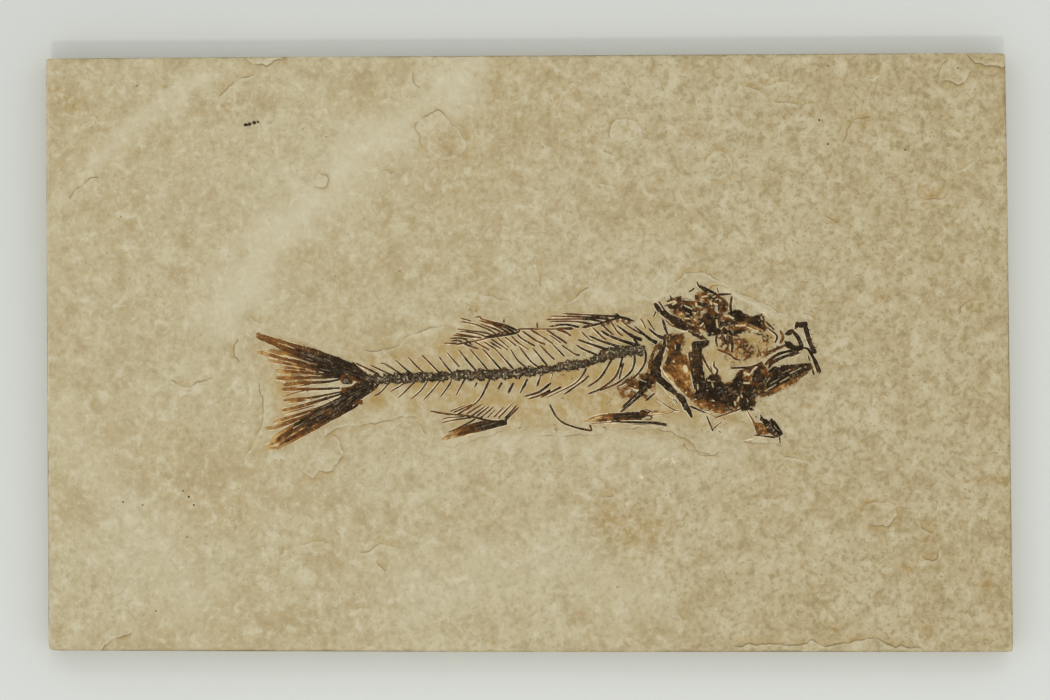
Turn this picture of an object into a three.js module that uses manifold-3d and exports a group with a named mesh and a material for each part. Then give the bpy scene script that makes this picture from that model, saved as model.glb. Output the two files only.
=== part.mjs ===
// A fossil fish on a thin slab of limestone. The slab lies flat with the fish on its upper face: the head
// is towards +X, the back towards +Y, and the origin is at the middle of the slab's underside.
import * as THREE from 'three';
import { mergeVertices } from 'three/addons/utils/BufferGeometryUtils.js';
import Module from 'manifold-3d';

const wasm = await Module();
wasm.setup();

// Driving dimensions, in millimetres
const SLAB_LENGTH = 300;
const SLAB_THICKNESS = 10;
const EDGE_WEAR = 0.6;
const BASIN_DEPTH = 0.5;
const FLAKE_DEPTH = 0.25;
const CHIP_DEPTH = 0.8;
const VERTEBRA_HEIGHT = 1.6;
const VERTEBRA_WAIST = 0.8;
const RAY_WIDTH = 0.6;
const RAY_HEIGHT = 0.45;
const SPINE_WIDTH = 0.7;
const SPINE_HEIGHT = 0.6;
const RIB_WIDTH = 0.6;
const RIB_HEIGHT = 0.6;
const BAR_HEIGHT = 1.1;
const PLATE_HEIGHT = 0.9;
const PLATE_BEVEL = 0.3;
const CREST_SHARE = 0.35;
const TIP_SHARE = 0.5;

// All outlines and paths below are places in a straight-down picture of the slab, in its pixels,
// with x to the right and y down. The slab fills the picture from its left to its right limit.
const PICTURE_LEFT = 46;
const PICTURE_RIGHT = 1013;
const PICTURE_TOP = 53;
const PICTURE_BOTTOM = 652;
const PIXEL = SLAB_LENGTH / (PICTURE_RIGHT - PICTURE_LEFT);
const CENTRE_X = (PICTURE_LEFT + PICTURE_RIGHT) / 2;
const CENTRE_Y = (PICTURE_TOP + PICTURE_BOTTOM) / 2;
const BASIN_FLOOR = SLAB_THICKNESS - BASIN_DEPTH;

const SLAB_OUTLINE = [
  [46, 60], [48, 58.5], [240, 57.5], [415, 56.5], [640, 55.5], [860, 54], [1002, 53], [1005, 54.5],
  [1007.5, 200], [1009, 360], [1011, 520], [1013, 648], [1012, 651], [1009, 652], [780, 651.5],
  [480, 652], [240, 650.5], [54, 650.5], [50, 649], [48.5, 645], [47.5, 400], [46.5, 240],
];

const BASIN_OUTLINE = [
  [240, 345], [246, 330], [258, 323], [275, 327], [300, 338], [320, 345], [340, 347], [358, 351],
  [375, 352], [392, 348], [402, 341], [415, 332], [430, 329], [448, 325], [453, 314], [464, 300],
  [482, 297], [506, 297], [520, 302], [540, 303], [557, 308], [566, 305], [578, 297], [588, 289],
  [610, 285], [632, 288], [650, 296], [660, 293], [672, 285], [690, 274], [708, 274], [722, 279],
  [738, 291], [760, 302], [788, 316], [800, 313], [814, 315], [822, 330], [826, 368], [820, 381],
  [795, 396], [770, 408], [788, 426], [792, 438], [786, 447], [745, 447], [735, 441], [715, 455],
  [698, 453], [685, 441], [667, 432], [651, 428], [618, 430], [595, 434], [546, 434], [520, 435],
  [506, 431], [475, 439], [455, 445], [440, 444], [424, 430], [413, 420], [392, 419], [370, 425],
  [352, 426], [337, 431], [312, 443], [280, 460], [258, 462], [246, 457], [241, 440], [252, 420],
  [262, 400], [258, 380], [246, 365],
];

// Places where a thin layer of the stone has flaked off
const FLAKES = [
  [[320, 444], [332, 437], [343, 449], [345, 457], [337, 467], [322, 472], [312, 479], [299, 470], [296, 456]],
  [[418, 118], [429, 112], [441, 111], [451, 123], [461, 134], [467, 144], [462, 157], [436, 158], [417, 135]],
  [[940, 66], [940, 78], [950, 83], [963, 84], [969, 76], [966, 63], [958, 56], [945, 59]],
];

// Places where the worn edge is broken away
const EDGE_CHIPS = [
  [[968, 48], [975, 62], [990, 66], [1012, 68], [1012, 48]],
  [[733, 656], [734, 647], [800, 645], [814, 641], [825, 648], [856, 642], [878, 640], [923, 651], [923, 656]],
  [[243, 52], [250, 61], [263, 66], [275, 63], [289, 52]],
];

// x of each vertebra's rim, from the tail forward, and the backbone's centre line and half width there
const REAR_RIMS = [
  357, 368, 377, 386, 396, 407.5, 418.5, 431, 443, 457.5, 469, 481, 494, 506.5, 518.5, 530.5, 543, 555,
];
const REAR_CENTRE_LINE = [[357, 378.5], [395, 378.2], [430, 377], [470, 375.3], [506, 373.9], [555, 371]];
const REAR_HALF_WIDTH = 4.9;
const MIDDLE_RIMS = [559.5, 568, 580, 590];
const MIDDLE_CENTRE_LINE = [[559.5, 368], [568, 365.6], [580, 364.4], [590, 363.3]];
const MIDDLE_HALF_WIDTH = 4.4;
const FRONT_RIMS = [594, 602, 612, 622, 632, 642.5];
const FRONT_CENTRE_LINE = [[594, 360.4], [602, 356.6], [612, 352.5], [622, 350.3], [642.5, 349.4]];
const FRONT_HALF_WIDTH = 5.7;

// Spines run from the free tip to the root in the backbone.
const REAR_NEURAL_SPINES = [
  [[357, 363.6], [365, 367.3], [381, 375.5]],
  [[370.7, 365], [379.4, 369], [391, 375]],
  [[380, 363.8], [393.5, 369.9], [404, 376]],
  [[395.7, 360], [408.2, 370.8], [415, 375.5]],
  [[408.2, 357], [417.2, 366.7], [426, 374]],
  [[422, 355], [432.6, 366.7], [441, 375]],
  [[439, 356.4], [448.6, 369.2], [454, 374]],
  [[458.6, 349.5], [468.2, 361.4], [476, 371]],
  [[469.8, 349], [481.7, 362], [489, 370.5]],
  [[482.6, 348.6], [494.5, 362], [502, 370.5]],
  [[496.5, 350.2], [506.7, 362], [513, 369.5]],
  [[510.5, 349.2], [517.6, 360], [527, 369]],
  [[520, 347.6], [530.4, 360.8], [539, 368.5]],
  [[532.6, 347.3], [540.9, 358.2], [548, 368]],
];
const REAR_HAEMAL_SPINES = [
  [[357, 399.5], [364.6, 395.5], [373, 389], [379, 382]],
  [[374.2, 395.8], [380.6, 392.3], [388, 382]],
  [[390.3, 391.7], [396.7, 388], [405, 380.5]],
  [[397.3, 397.8], [408.2, 387.8], [415, 380.5]],
  [[410.8, 399], [421, 390.4], [427, 380]],
  [[424.2, 399.4], [434.5, 387.8], [441, 379]],
  [[440.6, 396.8], [449.4, 384.6], [452, 378]],
  [[455.8, 395.4], [461.7, 385.8], [465, 378]],
  [[478, 400], [481.7, 395.8], [485.8, 387.5], [490, 377]],
];
const FRONT_NEURAL_SPINES = [
  [[576.5, 345], [583.2, 349.2], [590.9, 351.7], [598, 356.5]],
  [[577.4, 339.3], [589.6, 343.8], [609, 352]],
  [[590.5, 336.3], [602.4, 341.5], [622, 348.5]],
  [[601.2, 330.3], [615.4, 338.5], [639, 346.5]],
  [[616.9, 325.6], [626.7, 332.3], [636.9, 338.5], [640.5, 346]],
];
const LOOSE_SPINES = {
  neural_spine_8: [[447, 352.4], [452.2, 358.2], [459.5, 366.2]],
  neural_spine_16: [[539.3, 344.4], [545.4, 350.5], [553.7, 358.8]],
  neural_spine_17: [[552.5, 344.2], [558.2, 349.9], [564.6, 356.3]],
  neural_spine_18: [[561.7, 345.4], [568.5, 349.9], [580, 355]],
  neural_spine_25: [[633.8, 325.6], [643.6, 333.3], [656.9, 343]],
  neural_spine_26: [[648.5, 328.5], [656.4, 334.6], [659, 336]],
  small_spine_1: [[640.5, 318.7], [643.6, 323], [644.8, 326.5]],
  small_spine_2: [[647.7, 319.7], [650.5, 324.3], [652.5, 327.3]],
  haemal_spine_8: [[474.6, 387.2], [476.7, 383.3]],
  haemal_spine_10: [[498.3, 389], [501.7, 383.3]],
  haemal_spine_11: [[508.3, 392.9], [513.3, 383.8]],
  haemal_spine_12: [[520.4, 392.9], [523.3, 387], [526.2, 381.9]],
  haemal_spine_13: [[536.5, 387], [538.3, 383.3], [540.3, 379.5]],
  dorsal_support_1: [[581.6, 331.6], [585.8, 335.8], [593.5, 340.6]],
  dorsal_support_2: [[610.8, 325.1], [616.9, 330.8], [623.1, 335.9]],
};

// The fin bases run from the tail forward. Rays and supports run from the free end to the base.
const SECOND_DORSAL_BASE = [
  [443.8, 343.1], [450, 342], [462, 341], [472, 339], [484, 337.5], [496, 335.8], [508, 334.3], [518, 331],
  [530, 329.4], [553, 329.8], [561, 330.8], [571, 336.1],
];
const SECOND_DORSAL_RAYS = [
  [[474.6, 317.5], [482.3, 319], [497.7, 323.6], [516.9, 331.5]],
  [[479.7, 320.8], [497.7, 325.8], [513.7, 333.5]],
  [[490, 324.2], [502.8, 329.6], [509, 334]],
  [[479.7, 323.9], [496.4, 329.9], [504, 335]],
  [[460.8, 321.7], [475.9, 324.6], [490.6, 330.6], [497, 335.8]],
  [[457.3, 329], [478.5, 331.6], [491, 336.6]],
  [[459.2, 331.5], [477.2, 333.8], [486, 337.5]],
  [[452.8, 335.1], [472, 336.6], [477, 338.5]],
  [[450.3, 338.3], [459.2, 338.3], [466, 340.5]],
];
const SECOND_DORSAL_SUPPORTS = [
  [[478, 348.7], [470.8, 346.3], [461, 341.5]],
  [[489, 349.6], [479.7, 343.5], [471, 339.5]],
  [[493, 347.5], [483.6, 341.5], [478, 338.5]],
  [[501.5, 349.2], [490, 342.8], [484, 338]],
  [[505.5, 348.5], [496.4, 341.9], [489, 337]],
  [[507.5, 345.5], [502.8, 342.2], [495, 336.5]],
  [[516.3, 346], [504.7, 338.2], [500, 335.5]],
  [[528.5, 349.6], [516.9, 341.5], [509, 334.3]],
  [[532, 343.8], [522.7, 338.6], [513, 333]],
  [[545.4, 344.7], [529.7, 336.4], [519, 331]],
  [[548.5, 340.2], [536.4, 333.8], [527, 329.8]],
  [[567.2, 343.5], [555.6, 335.8], [544, 329.6]],
];
const FIRST_DORSAL_BASE = [[584, 326], [592, 325], [598, 323.5], [611, 320], [620, 318], [633, 321]];
const FIRST_DORSAL_RAYS = [
  [[562.7, 313.3], [584.5, 314.9], [610, 316.2], [626, 319]],
  [[550.8, 316.2], [574.9, 317.4], [597.3, 318], [612, 320]],
  [[546.7, 319.4], [571.7, 319.2], [594, 321], [603, 322.5]],
  [[549.6, 322], [574.9, 322.2], [593, 325]],
  [[553, 325.6], [565.3, 324.8], [585, 326]],
];
const FIRST_DORSAL_SUPPORTS = [
  [[604.5, 338.2], [597.3, 332.6], [590, 325.5]],
  [[611.5, 333.4], [606.2, 329.2], [599, 323.5]],
  [[634, 330.3], [627, 325.6], [618, 318.5]],
];
const ANAL_BASE = [[430, 410.8], [446.7, 413.8], [465.8, 415.4], [480, 418.3], [492, 420.5], [506, 420]];
const ANAL_SUPPORTS = [
  [[518.8, 406], [513, 411.8], [505, 420]],
  [[514, 401.8], [508.3, 407.5], [498.5, 420]],
  [[503.3, 407.5], [491.5, 420]],
  [[495.4, 409.6], [486, 419]],
  [[493.6, 406.6], [481, 418]],
  [[489.2, 406.7], [475, 417]],
  [[482.5, 404.2], [476.7, 408.3], [466, 415.5]],
  [[475, 405], [457, 414.8]],
  [[465.8, 405.5], [448, 414]],
];
const ANAL_RAYS = [
  [[447.9, 432.5], [463.3, 425.6], [476, 418.5]],
  [[442.5, 422.5], [456.7, 419.8], [472, 417]],
  [[442.5, 418.8], [457.5, 417.5], [466, 415.8]],
];
const ANAL_BUNDLE = [
  [507, 419], [506, 424], [500, 427.5], [472, 433], [444, 440], [450, 434], [470, 426], [480, 418.5],
];

// The tail fin's lobes: the thick leading edge with the plate at the root, and the rays from it
const UPPER_LOBE_PLATE = [
  [256, 332], [276, 336.2], [295, 342.7], [315, 349.6], [335, 352], [352, 358], [354, 365], [354, 378.5],
  [341, 378.5], [337, 368], [322, 362], [300, 355], [285, 349.6], [268, 341.5], [256, 336.5],
];
const UPPER_LOBE_RAYS = [
  [[268, 349.6], [300.4, 357.3], [322, 365], [343, 371]],
  [[257, 351.5], [285, 359], [314, 367.4], [343, 374.6]],
  [[275, 370.5], [310, 373.4], [343, 376]],
  [[276.5, 377.9], [311, 377], [343, 376.9]],
];
const LOWER_LOBE_PLATE = [
  [341, 381], [354, 381], [354, 404], [352.7, 408], [343.5, 413.5], [322, 423.5], [300, 432], [279.6, 444.2],
  [265, 448.8], [271, 440.4], [291, 425], [310.4, 415.8], [322, 409.6], [338, 402], [340, 392],
];
const LOWER_LOBE_RAYS = [
  [[283.5, 385], [313.5, 383.2], [343, 383]],
  [[281, 389.2], [319, 388.8], [343, 388.5]],
  [[283.5, 400.4], [312, 397.3], [343, 391.5]],
  [[282, 410.4], [306.5, 404.6], [343, 394]],
  [[273.5, 422], [306.5, 412], [343, 397.5]],
  [[265, 428], [292.7, 421.2], [322, 410.2], [343, 400]],
];

const RIBS = {
  rib_1: [[586, 369.3], [582.3, 375.3], [575.3, 383], [566.1, 388.7], [547.8, 396.8]],
  rib_2: [[588.7, 376], [582.3, 381.6], [575.3, 386.7], [564, 394.7]],
  rib_3: [[611.2, 361], [606.3, 370.3], [600.6, 377.4], [587.6, 386.9]],
  rib_4: [[622.3, 359.3], [619.7, 368.2], [616.2, 376], [602.1, 388], [588, 394]],
  rib_5: [[634.6, 358], [634.6, 362], [631, 371.7], [625.3, 378.1], [605, 389]],
  rib_6: [[645.4, 351.5], [646, 358], [643.6, 366.2], [633.8, 377.4], [619, 386.3]],
  rear_rib_1: [[551.1, 382.8], [545.7, 388], [539.2, 392], [524.2, 396.3]],
  rear_rib_2: [[550.3, 390], [540.8, 394.8], [528.3, 399.2]],
  rear_rib_3: [[561.2, 386.9], [554.1, 390.8], [540.4, 397.6]],
  isolated_spine: [[549.5, 404.2], [556.9, 417.6], [568.2, 425], [582.3, 429.2], [590, 430]],
  pectoral_ray: [[656.5, 399.2], [664, 403.9], [668, 406.2]],
  lower_orbit_bar: [[730, 367.6], [749.6, 366.8], [762.3, 362.2]],
  branchiostegal_1: [[705.2, 412.5], [701.6, 410.8], [695, 407.8]],
  branchiostegal_2: [[714.6, 418.2], [728.5, 413.1], [741.3, 409.2]],
};

// Stouter bones. Each path has the bone's width in pixels at each of its points.
const CLEITHRUM = {
  path: [
    [662.8, 321], [665.3, 333], [665.4, 339], [661.5, 351.8], [656.5, 362], [654.4, 371.8], [656, 377.5],
    [663, 383.5], [681.5, 398.1], [686.5, 405], [691.5, 417.7],
  ],
  widths: [3, 3.5, 5, 7, 9.5, 10, 8.5, 6, 6, 7, 2],
};
const SUPRACLEITHRUM = [
  { path: [[654.5, 302.8], [660, 311.5], [673.9, 320.7], [684.8, 328.2]], widths: [4.5, 5, 6, 7] },
  { path: [[655.5, 303.5], [658.3, 301.5], [661.7, 307.4], [668, 313.6], [676, 319]], widths: [3, 2.4, 2, 2, 2] },
];
const PREOPERCLE = [
  { path: [[695, 343], [696.5, 353], [697.7, 364.6], [701.5, 383]], widths: [7, 7.5, 7.5, 6.5] },
  { path: [[694, 345], [690, 350], [690.8, 361.2], [691.9, 370.4], [695.2, 387]], widths: [3, 2.6, 2.6, 2.6, 2.4] },
  { path: [[698.5, 349], [702.9, 357.7], [706.4, 364.6], [712.5, 373.3]], widths: [3, 3, 3, 3] },
];
const PREMAXILLA = [
  { path: [[786.9, 333.8], [791, 330.7], [795.5, 327.5], [797.6, 322.6]], widths: [3.6, 3.6, 3.4, 3] },
  { path: [[793, 329.5], [798, 337], [801.3, 344], [801.2, 349.5]], widths: [3.6, 3.6, 3.4, 3.2] },
  { path: [[797, 325.7], [805.5, 325.5], [807.9, 339.2], [814.6, 353.1]], widths: [3.6, 4, 4, 5] },
  { path: [[801.2, 348.6], [811.1, 352.6], [816.5, 363.8], [818.3, 371.8]], widths: [2, 2.6, 3.8, 3.4] },
];
const PELVIC_BONE = { path: [[610, 422.8], [640, 423.2], [655, 423.2], [665, 424.6]], widths: [2, 3.2, 3.2, 2.6] };
const PELVIC_GIRDLE = { path: [[655, 411.6], [668, 411.6], [679, 410.8]], widths: [3.6, 3, 2] };
const ORBIT_RIM = {
  path: [[716.7, 340], [716.9, 348.8], [725.4, 352.3], [734.6, 358.2], [740.4, 359.8]],
  widths: [3, 2.6, 2.6, 2.6, 2],
};
const NASAL_BONE = { path: [[771.8, 331], [775.6, 333.9], [776.7, 337.3], [775, 341.9]], widths: [2, 2.4, 2.4, 2] };
const GILL_SPLINT = [
  { path: [[706.3, 415.5], [709.2, 422.6], [712.8, 430.9]], widths: [2, 2.2, 2.2] },
  { path: [[720.8, 422.6], [717, 425.4], [712.2, 429.6]], widths: [1.6, 1.8, 2] },
];
const HYOID_SPIKES = [
  { path: [[748.3, 411.8], [751, 417.4], [757, 426]], widths: [1.6, 2.2, 3] },
  { path: [[780, 442.8], [780.2, 439.5], [779, 434]], widths: [1.6, 1.8, 2.4] },
];
const PECTORAL_RODS = [
  { path: [[624.5, 405.8], [628.3, 402.1], [641, 389.8]], widths: [1.6, 1.7, 1.8] },
  { path: [[624.6, 408.9], [635.2, 399.8], [648, 386.5]], widths: [1.6, 1.8, 1.9] },
];
const CREST_SPIKES = [
  { path: [[697.2, 282], [699.5, 287.5], [705, 293]], widths: [2, 3, 4] },
  { path: [[731.4, 306.5], [731, 301], [731.8, 295.2], [722, 296]], widths: [2.6, 2.6, 2.8, 3] },
];

// Broad bones, as outlines
const PLATES = {
  pelvic_fin: [
    [579.5, 422.2], [588.7, 418.5], [593.6, 416.2], [601.4, 413.3], [626.5, 412.7], [642, 412], [650, 411],
    [652, 415], [645, 418.5], [610.5, 419.3], [600, 419.7], [585, 421.6],
  ],
  pectoral_mass: [[640, 378], [647, 377.5], [650, 381], [650.5, 386], [648, 388.5], [645, 391], [640, 391], [638, 385]],
  opercle: [
    [661.3, 366.5], [665, 361], [672, 354], [671, 345], [671, 336], [682, 335], [683, 340], [680, 346],
    [680.5, 354], [686, 355], [686.5, 362], [687.5, 375], [689.5, 388], [687, 393], [676, 385.5], [668, 378.5],
    [663.2, 372],
  ],
  preopercle_top: [[691.5, 345], [693.5, 340.5], [705, 340.5], [711, 341.5], [708, 345.5], [701, 349]],
  jaw_joint: [
    [696, 396], [704, 391], [709, 384], [713, 379], [718, 377], [723, 383], [728, 382], [737, 376], [740, 371],
    [743, 371], [743.5, 384], [751, 385], [750.5, 370.5], [757, 368.6], [764, 367.5], [765, 380], [763, 388],
    [757, 396], [754, 399], [754, 405.5], [748, 408.5], [740, 402], [734, 406], [714, 407], [704, 402],
  ],
  skull_roof_rear: [
    [665.5, 304], [671, 296], [676, 300], [680, 297], [687, 302], [693.5, 300.5], [694, 306], [698, 311],
    [694, 315], [683, 311], [672, 308],
  ],
  skull_crest: [
    [697, 292], [706, 290], [712, 293], [724, 297.5], [722, 303], [727.5, 306], [727, 313], [720, 313],
    [714, 308], [705, 307], [700, 304], [697, 298],
  ],
  braincase: [
    [700, 322], [704, 317], [709, 311], [715, 311.5], [716.5, 320], [717, 327], [719.5, 333], [716, 336],
    [708.5, 336], [706, 330], [707, 325], [702, 325],
  ],
  frontal: [
    [731.8, 310.5], [739.8, 309.9], [746.2, 315.4], [750.8, 317.4], [760.6, 314.8], [763.8, 316.5],
    [763.5, 320.6], [768.1, 328.1], [765.2, 329.8], [760.6, 326.4], [746.2, 321.7], [736.9, 321.7], [731.6, 317.5],
  ],
  orbit_roof: [
    [721.3, 329], [726, 329], [727.5, 324], [736, 325.3], [745, 328.5], [744, 332], [740, 338], [724.5, 335],
    [721.8, 332.5],
  ],
  hyomandibular: [[690, 327.6], [698, 330], [700.5, 334.5], [699.5, 337], [695.8, 335.8], [690, 332.6]],
  maxilla: [
    [785.5, 342], [790, 342], [793, 346], [797, 348], [797.3, 352.5], [780.1, 358], [772.5, 363], [768, 364.5],
    [767, 363], [777.4, 353], [787, 348.5],
  ],
  lower_jaw: [
    [772, 367.6], [780.1, 367.9], [783.7, 365], [810.6, 363.6], [812.4, 367.9], [807.9, 369.7], [799.9, 376.8],
    [785, 386], [766, 393], [766, 388], [768.5, 380],
  ],
  hyoid_fragment: [
    [752, 420], [755, 424], [762, 421], [760.5, 415], [764, 418.4], [771.5, 418], [778, 427], [783.5, 434],
    [782, 437], [778, 437.5], [757, 434.5], [755.5, 428],
  ],
};

const STONE = { color: 0xc9bc95, roughness: 0.85, metalness: 0 };
const DARK_BONE = { color: 0x33292a, roughness: 0.45, metalness: 0 };
const BROWN_BONE = { color: 0x6e4628, roughness: 0.5, metalness: 0 };
const PALE_BONE = { color: 0x9a6a3c, roughness: 0.55, metalness: 0 };

// The place of a picture pixel on the slab, in millimetres
function place([x, y]) {
  return new THREE.Vector2((x - CENTRE_X) * PIXEL, (CENTRE_Y - y) * PIXEL);
}

function shapeOf(outline) {
  const points = outline.map(place);
  if (THREE.ShapeUtils.isClockWise(points)) points.reverse();
  return new THREE.Shape(points);
}

function toSolid(geometry) {
  geometry.deleteAttribute('normal');
  geometry.deleteAttribute('uv');
  const merged = mergeVertices(geometry, 1e-4);
  const vertProperties = new Float32Array(merged.attributes.position.array);
  const triVerts = new Uint32Array(merged.index.array);
  return new wasm.Manifold(new wasm.Mesh({ numProp: 3, vertProperties, triVerts }));
}

function toGeometry(solid) {
  const mesh = solid.getMesh();
  const geometry = new THREE.BufferGeometry();
  geometry.setAttribute('position', new THREE.BufferAttribute(mesh.vertProperties, 3));
  geometry.setIndex(new THREE.BufferAttribute(mesh.triVerts, 1));
  geometry.computeVertexNormals();
  return geometry;
}

function join(solids) {
  return solids.reduce((whole, next) => whole.add(next));
}

// A prism of an outline, from one height to another
function prism(outline, bottom, top) {
  const geometry = new THREE.ExtrudeGeometry(shapeOf(outline), { depth: top - bottom, bevelEnabled: false });
  geometry.translate(0, 0, bottom);
  return toSolid(geometry);
}

// A ridge of bone along a path, with a flat underside at height 0 and a narrower crest. widths are in
// millimetres at each point, and heights likewise.
function ridge(path, widths, heights) {
  const points = path.map(place);
  const geometry = new THREE.BoxGeometry(1, 1, 1, points.length - 1, 1, 1);
  const corners = geometry.attributes.position;
  for (let i = 0; i < corners.count; i += 1) {
    const station = Math.round((corners.getX(i) + 0.5) * (points.length - 1));
    const before = points[Math.max(station - 1, 0)];
    const after = points[Math.min(station + 1, points.length - 1)];
    const across = after.clone().sub(before).normalize().rotateAround(new THREE.Vector2(), Math.PI / 2);
    const onTop = corners.getZ(i) > 0;
    const reach = Math.sign(corners.getY(i)) * widths[station] / 2 * (onTop ? CREST_SHARE : 1);
    const point = points[station].clone().addScaledVector(across, reach);
    corners.setXYZ(i, point.x, point.y, onTop ? heights[station] : 0);
  }
  return toSolid(geometry);
}

// A thin bone that narrows and sinks towards its first point, or towards both ends
function sliver(path, width, height, bothEnds = false) {
  const shares = path.map(() => 1);
  shares[0] = TIP_SHARE;
  if (bothEnds) shares[path.length - 1] = TIP_SHARE;
  return ridge(path, shares.map((share) => share * width), shares.map((share) => share * height));
}

function bar({ path, widths }, height = BAR_HEIGHT) {
  const broadest = Math.max(...widths);
  const heights = widths.map((width) => height * (0.5 + 0.5 * width / broadest));
  return ridge(path, widths.map((width) => width * PIXEL), heights);
}

// A broad bone, with a flat underside at height 0 and sides that slope in to a smaller upper face
function plate(outline, height = PLATE_HEIGHT) {
  const points = shapeOf(outline).getPoints();
  const inner = points.map((point, i) => {
    const before = points[(i + points.length - 1) % points.length];
    const after = points[(i + 1) % points.length];
    const inward = point.clone().sub(before).normalize();
    inward.add(after.clone().sub(point).normalize());
    inward.normalize().rotateAround(new THREE.Vector2(), Math.PI / 2);
    return point.clone().addScaledVector(inward, PLATE_BEVEL);
  });
  const geometry = new THREE.ExtrudeGeometry(new THREE.Shape(points), { depth: height, bevelEnabled: false });
  const corners = geometry.attributes.position;
  for (let i = 0; i < corners.count; i += 1) {
    if (corners.getZ(i) > 0) {
      const corner = new THREE.Vector2(corners.getX(i), corners.getY(i));
      const nearest = points.findIndex((point) => point.distanceTo(corner) < PLATE_BEVEL / 10);
      corners.setXY(i, inner[nearest].x, inner[nearest].y);
    }
  }
  return toSolid(geometry);
}

// A run of vertebrae: broad and high at each rim, and drawn in at each waist
function vertebrae(rims, centreLine, halfWidth) {
  const centreAt = (x) => {
    const next = Math.max(1, centreLine.findIndex(([knot]) => knot >= x));
    const [x0, y0] = centreLine[next - 1];
    const [x1, y1] = centreLine[next];
    return y0 + (y1 - y0) * (x - x0) / (x1 - x0);
  };
  const path = [];
  const swell = [];
  rims.forEach((x, i) => {
    if (i > 0) {
      const waist = (rims[i - 1] + x) / 2;
      path.push([waist, centreAt(waist)]);
      swell.push(VERTEBRA_WAIST);
    }
    path.push([x, centreAt(x)]);
    swell.push(1);
  });
  const widths = swell.map((share) => share * 2 * halfWidth * PIXEL);
  return ridge(path, widths, swell.map((share) => share * VERTEBRA_HEIGHT));
}

function makeSlab() {
  const body = new THREE.ExtrudeGeometry(shapeOf(SLAB_OUTLINE), {
    depth: SLAB_THICKNESS - 2 * EDGE_WEAR,
    bevelThickness: EDGE_WEAR,
    bevelSize: EDGE_WEAR,
    bevelOffset: -EDGE_WEAR,
    bevelSegments: 1,
  });
  body.translate(0, 0, EDGE_WEAR);
  const cutTop = SLAB_THICKNESS + 1;
  const cuts = [
    prism(BASIN_OUTLINE, BASIN_FLOOR, cutTop),
    ...FLAKES.map((outline) => prism(outline, SLAB_THICKNESS - FLAKE_DEPTH, cutTop)),
    ...EDGE_CHIPS.map((outline) => prism(outline, SLAB_THICKNESS - CHIP_DEPTH, cutTop)),
  ];
  return toSolid(body).subtract(join(cuts));
}

const spine = (path) => sliver(path, SPINE_WIDTH, SPINE_HEIGHT);
const ray = (path) => sliver(path, RAY_WIDTH, RAY_HEIGHT);

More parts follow.
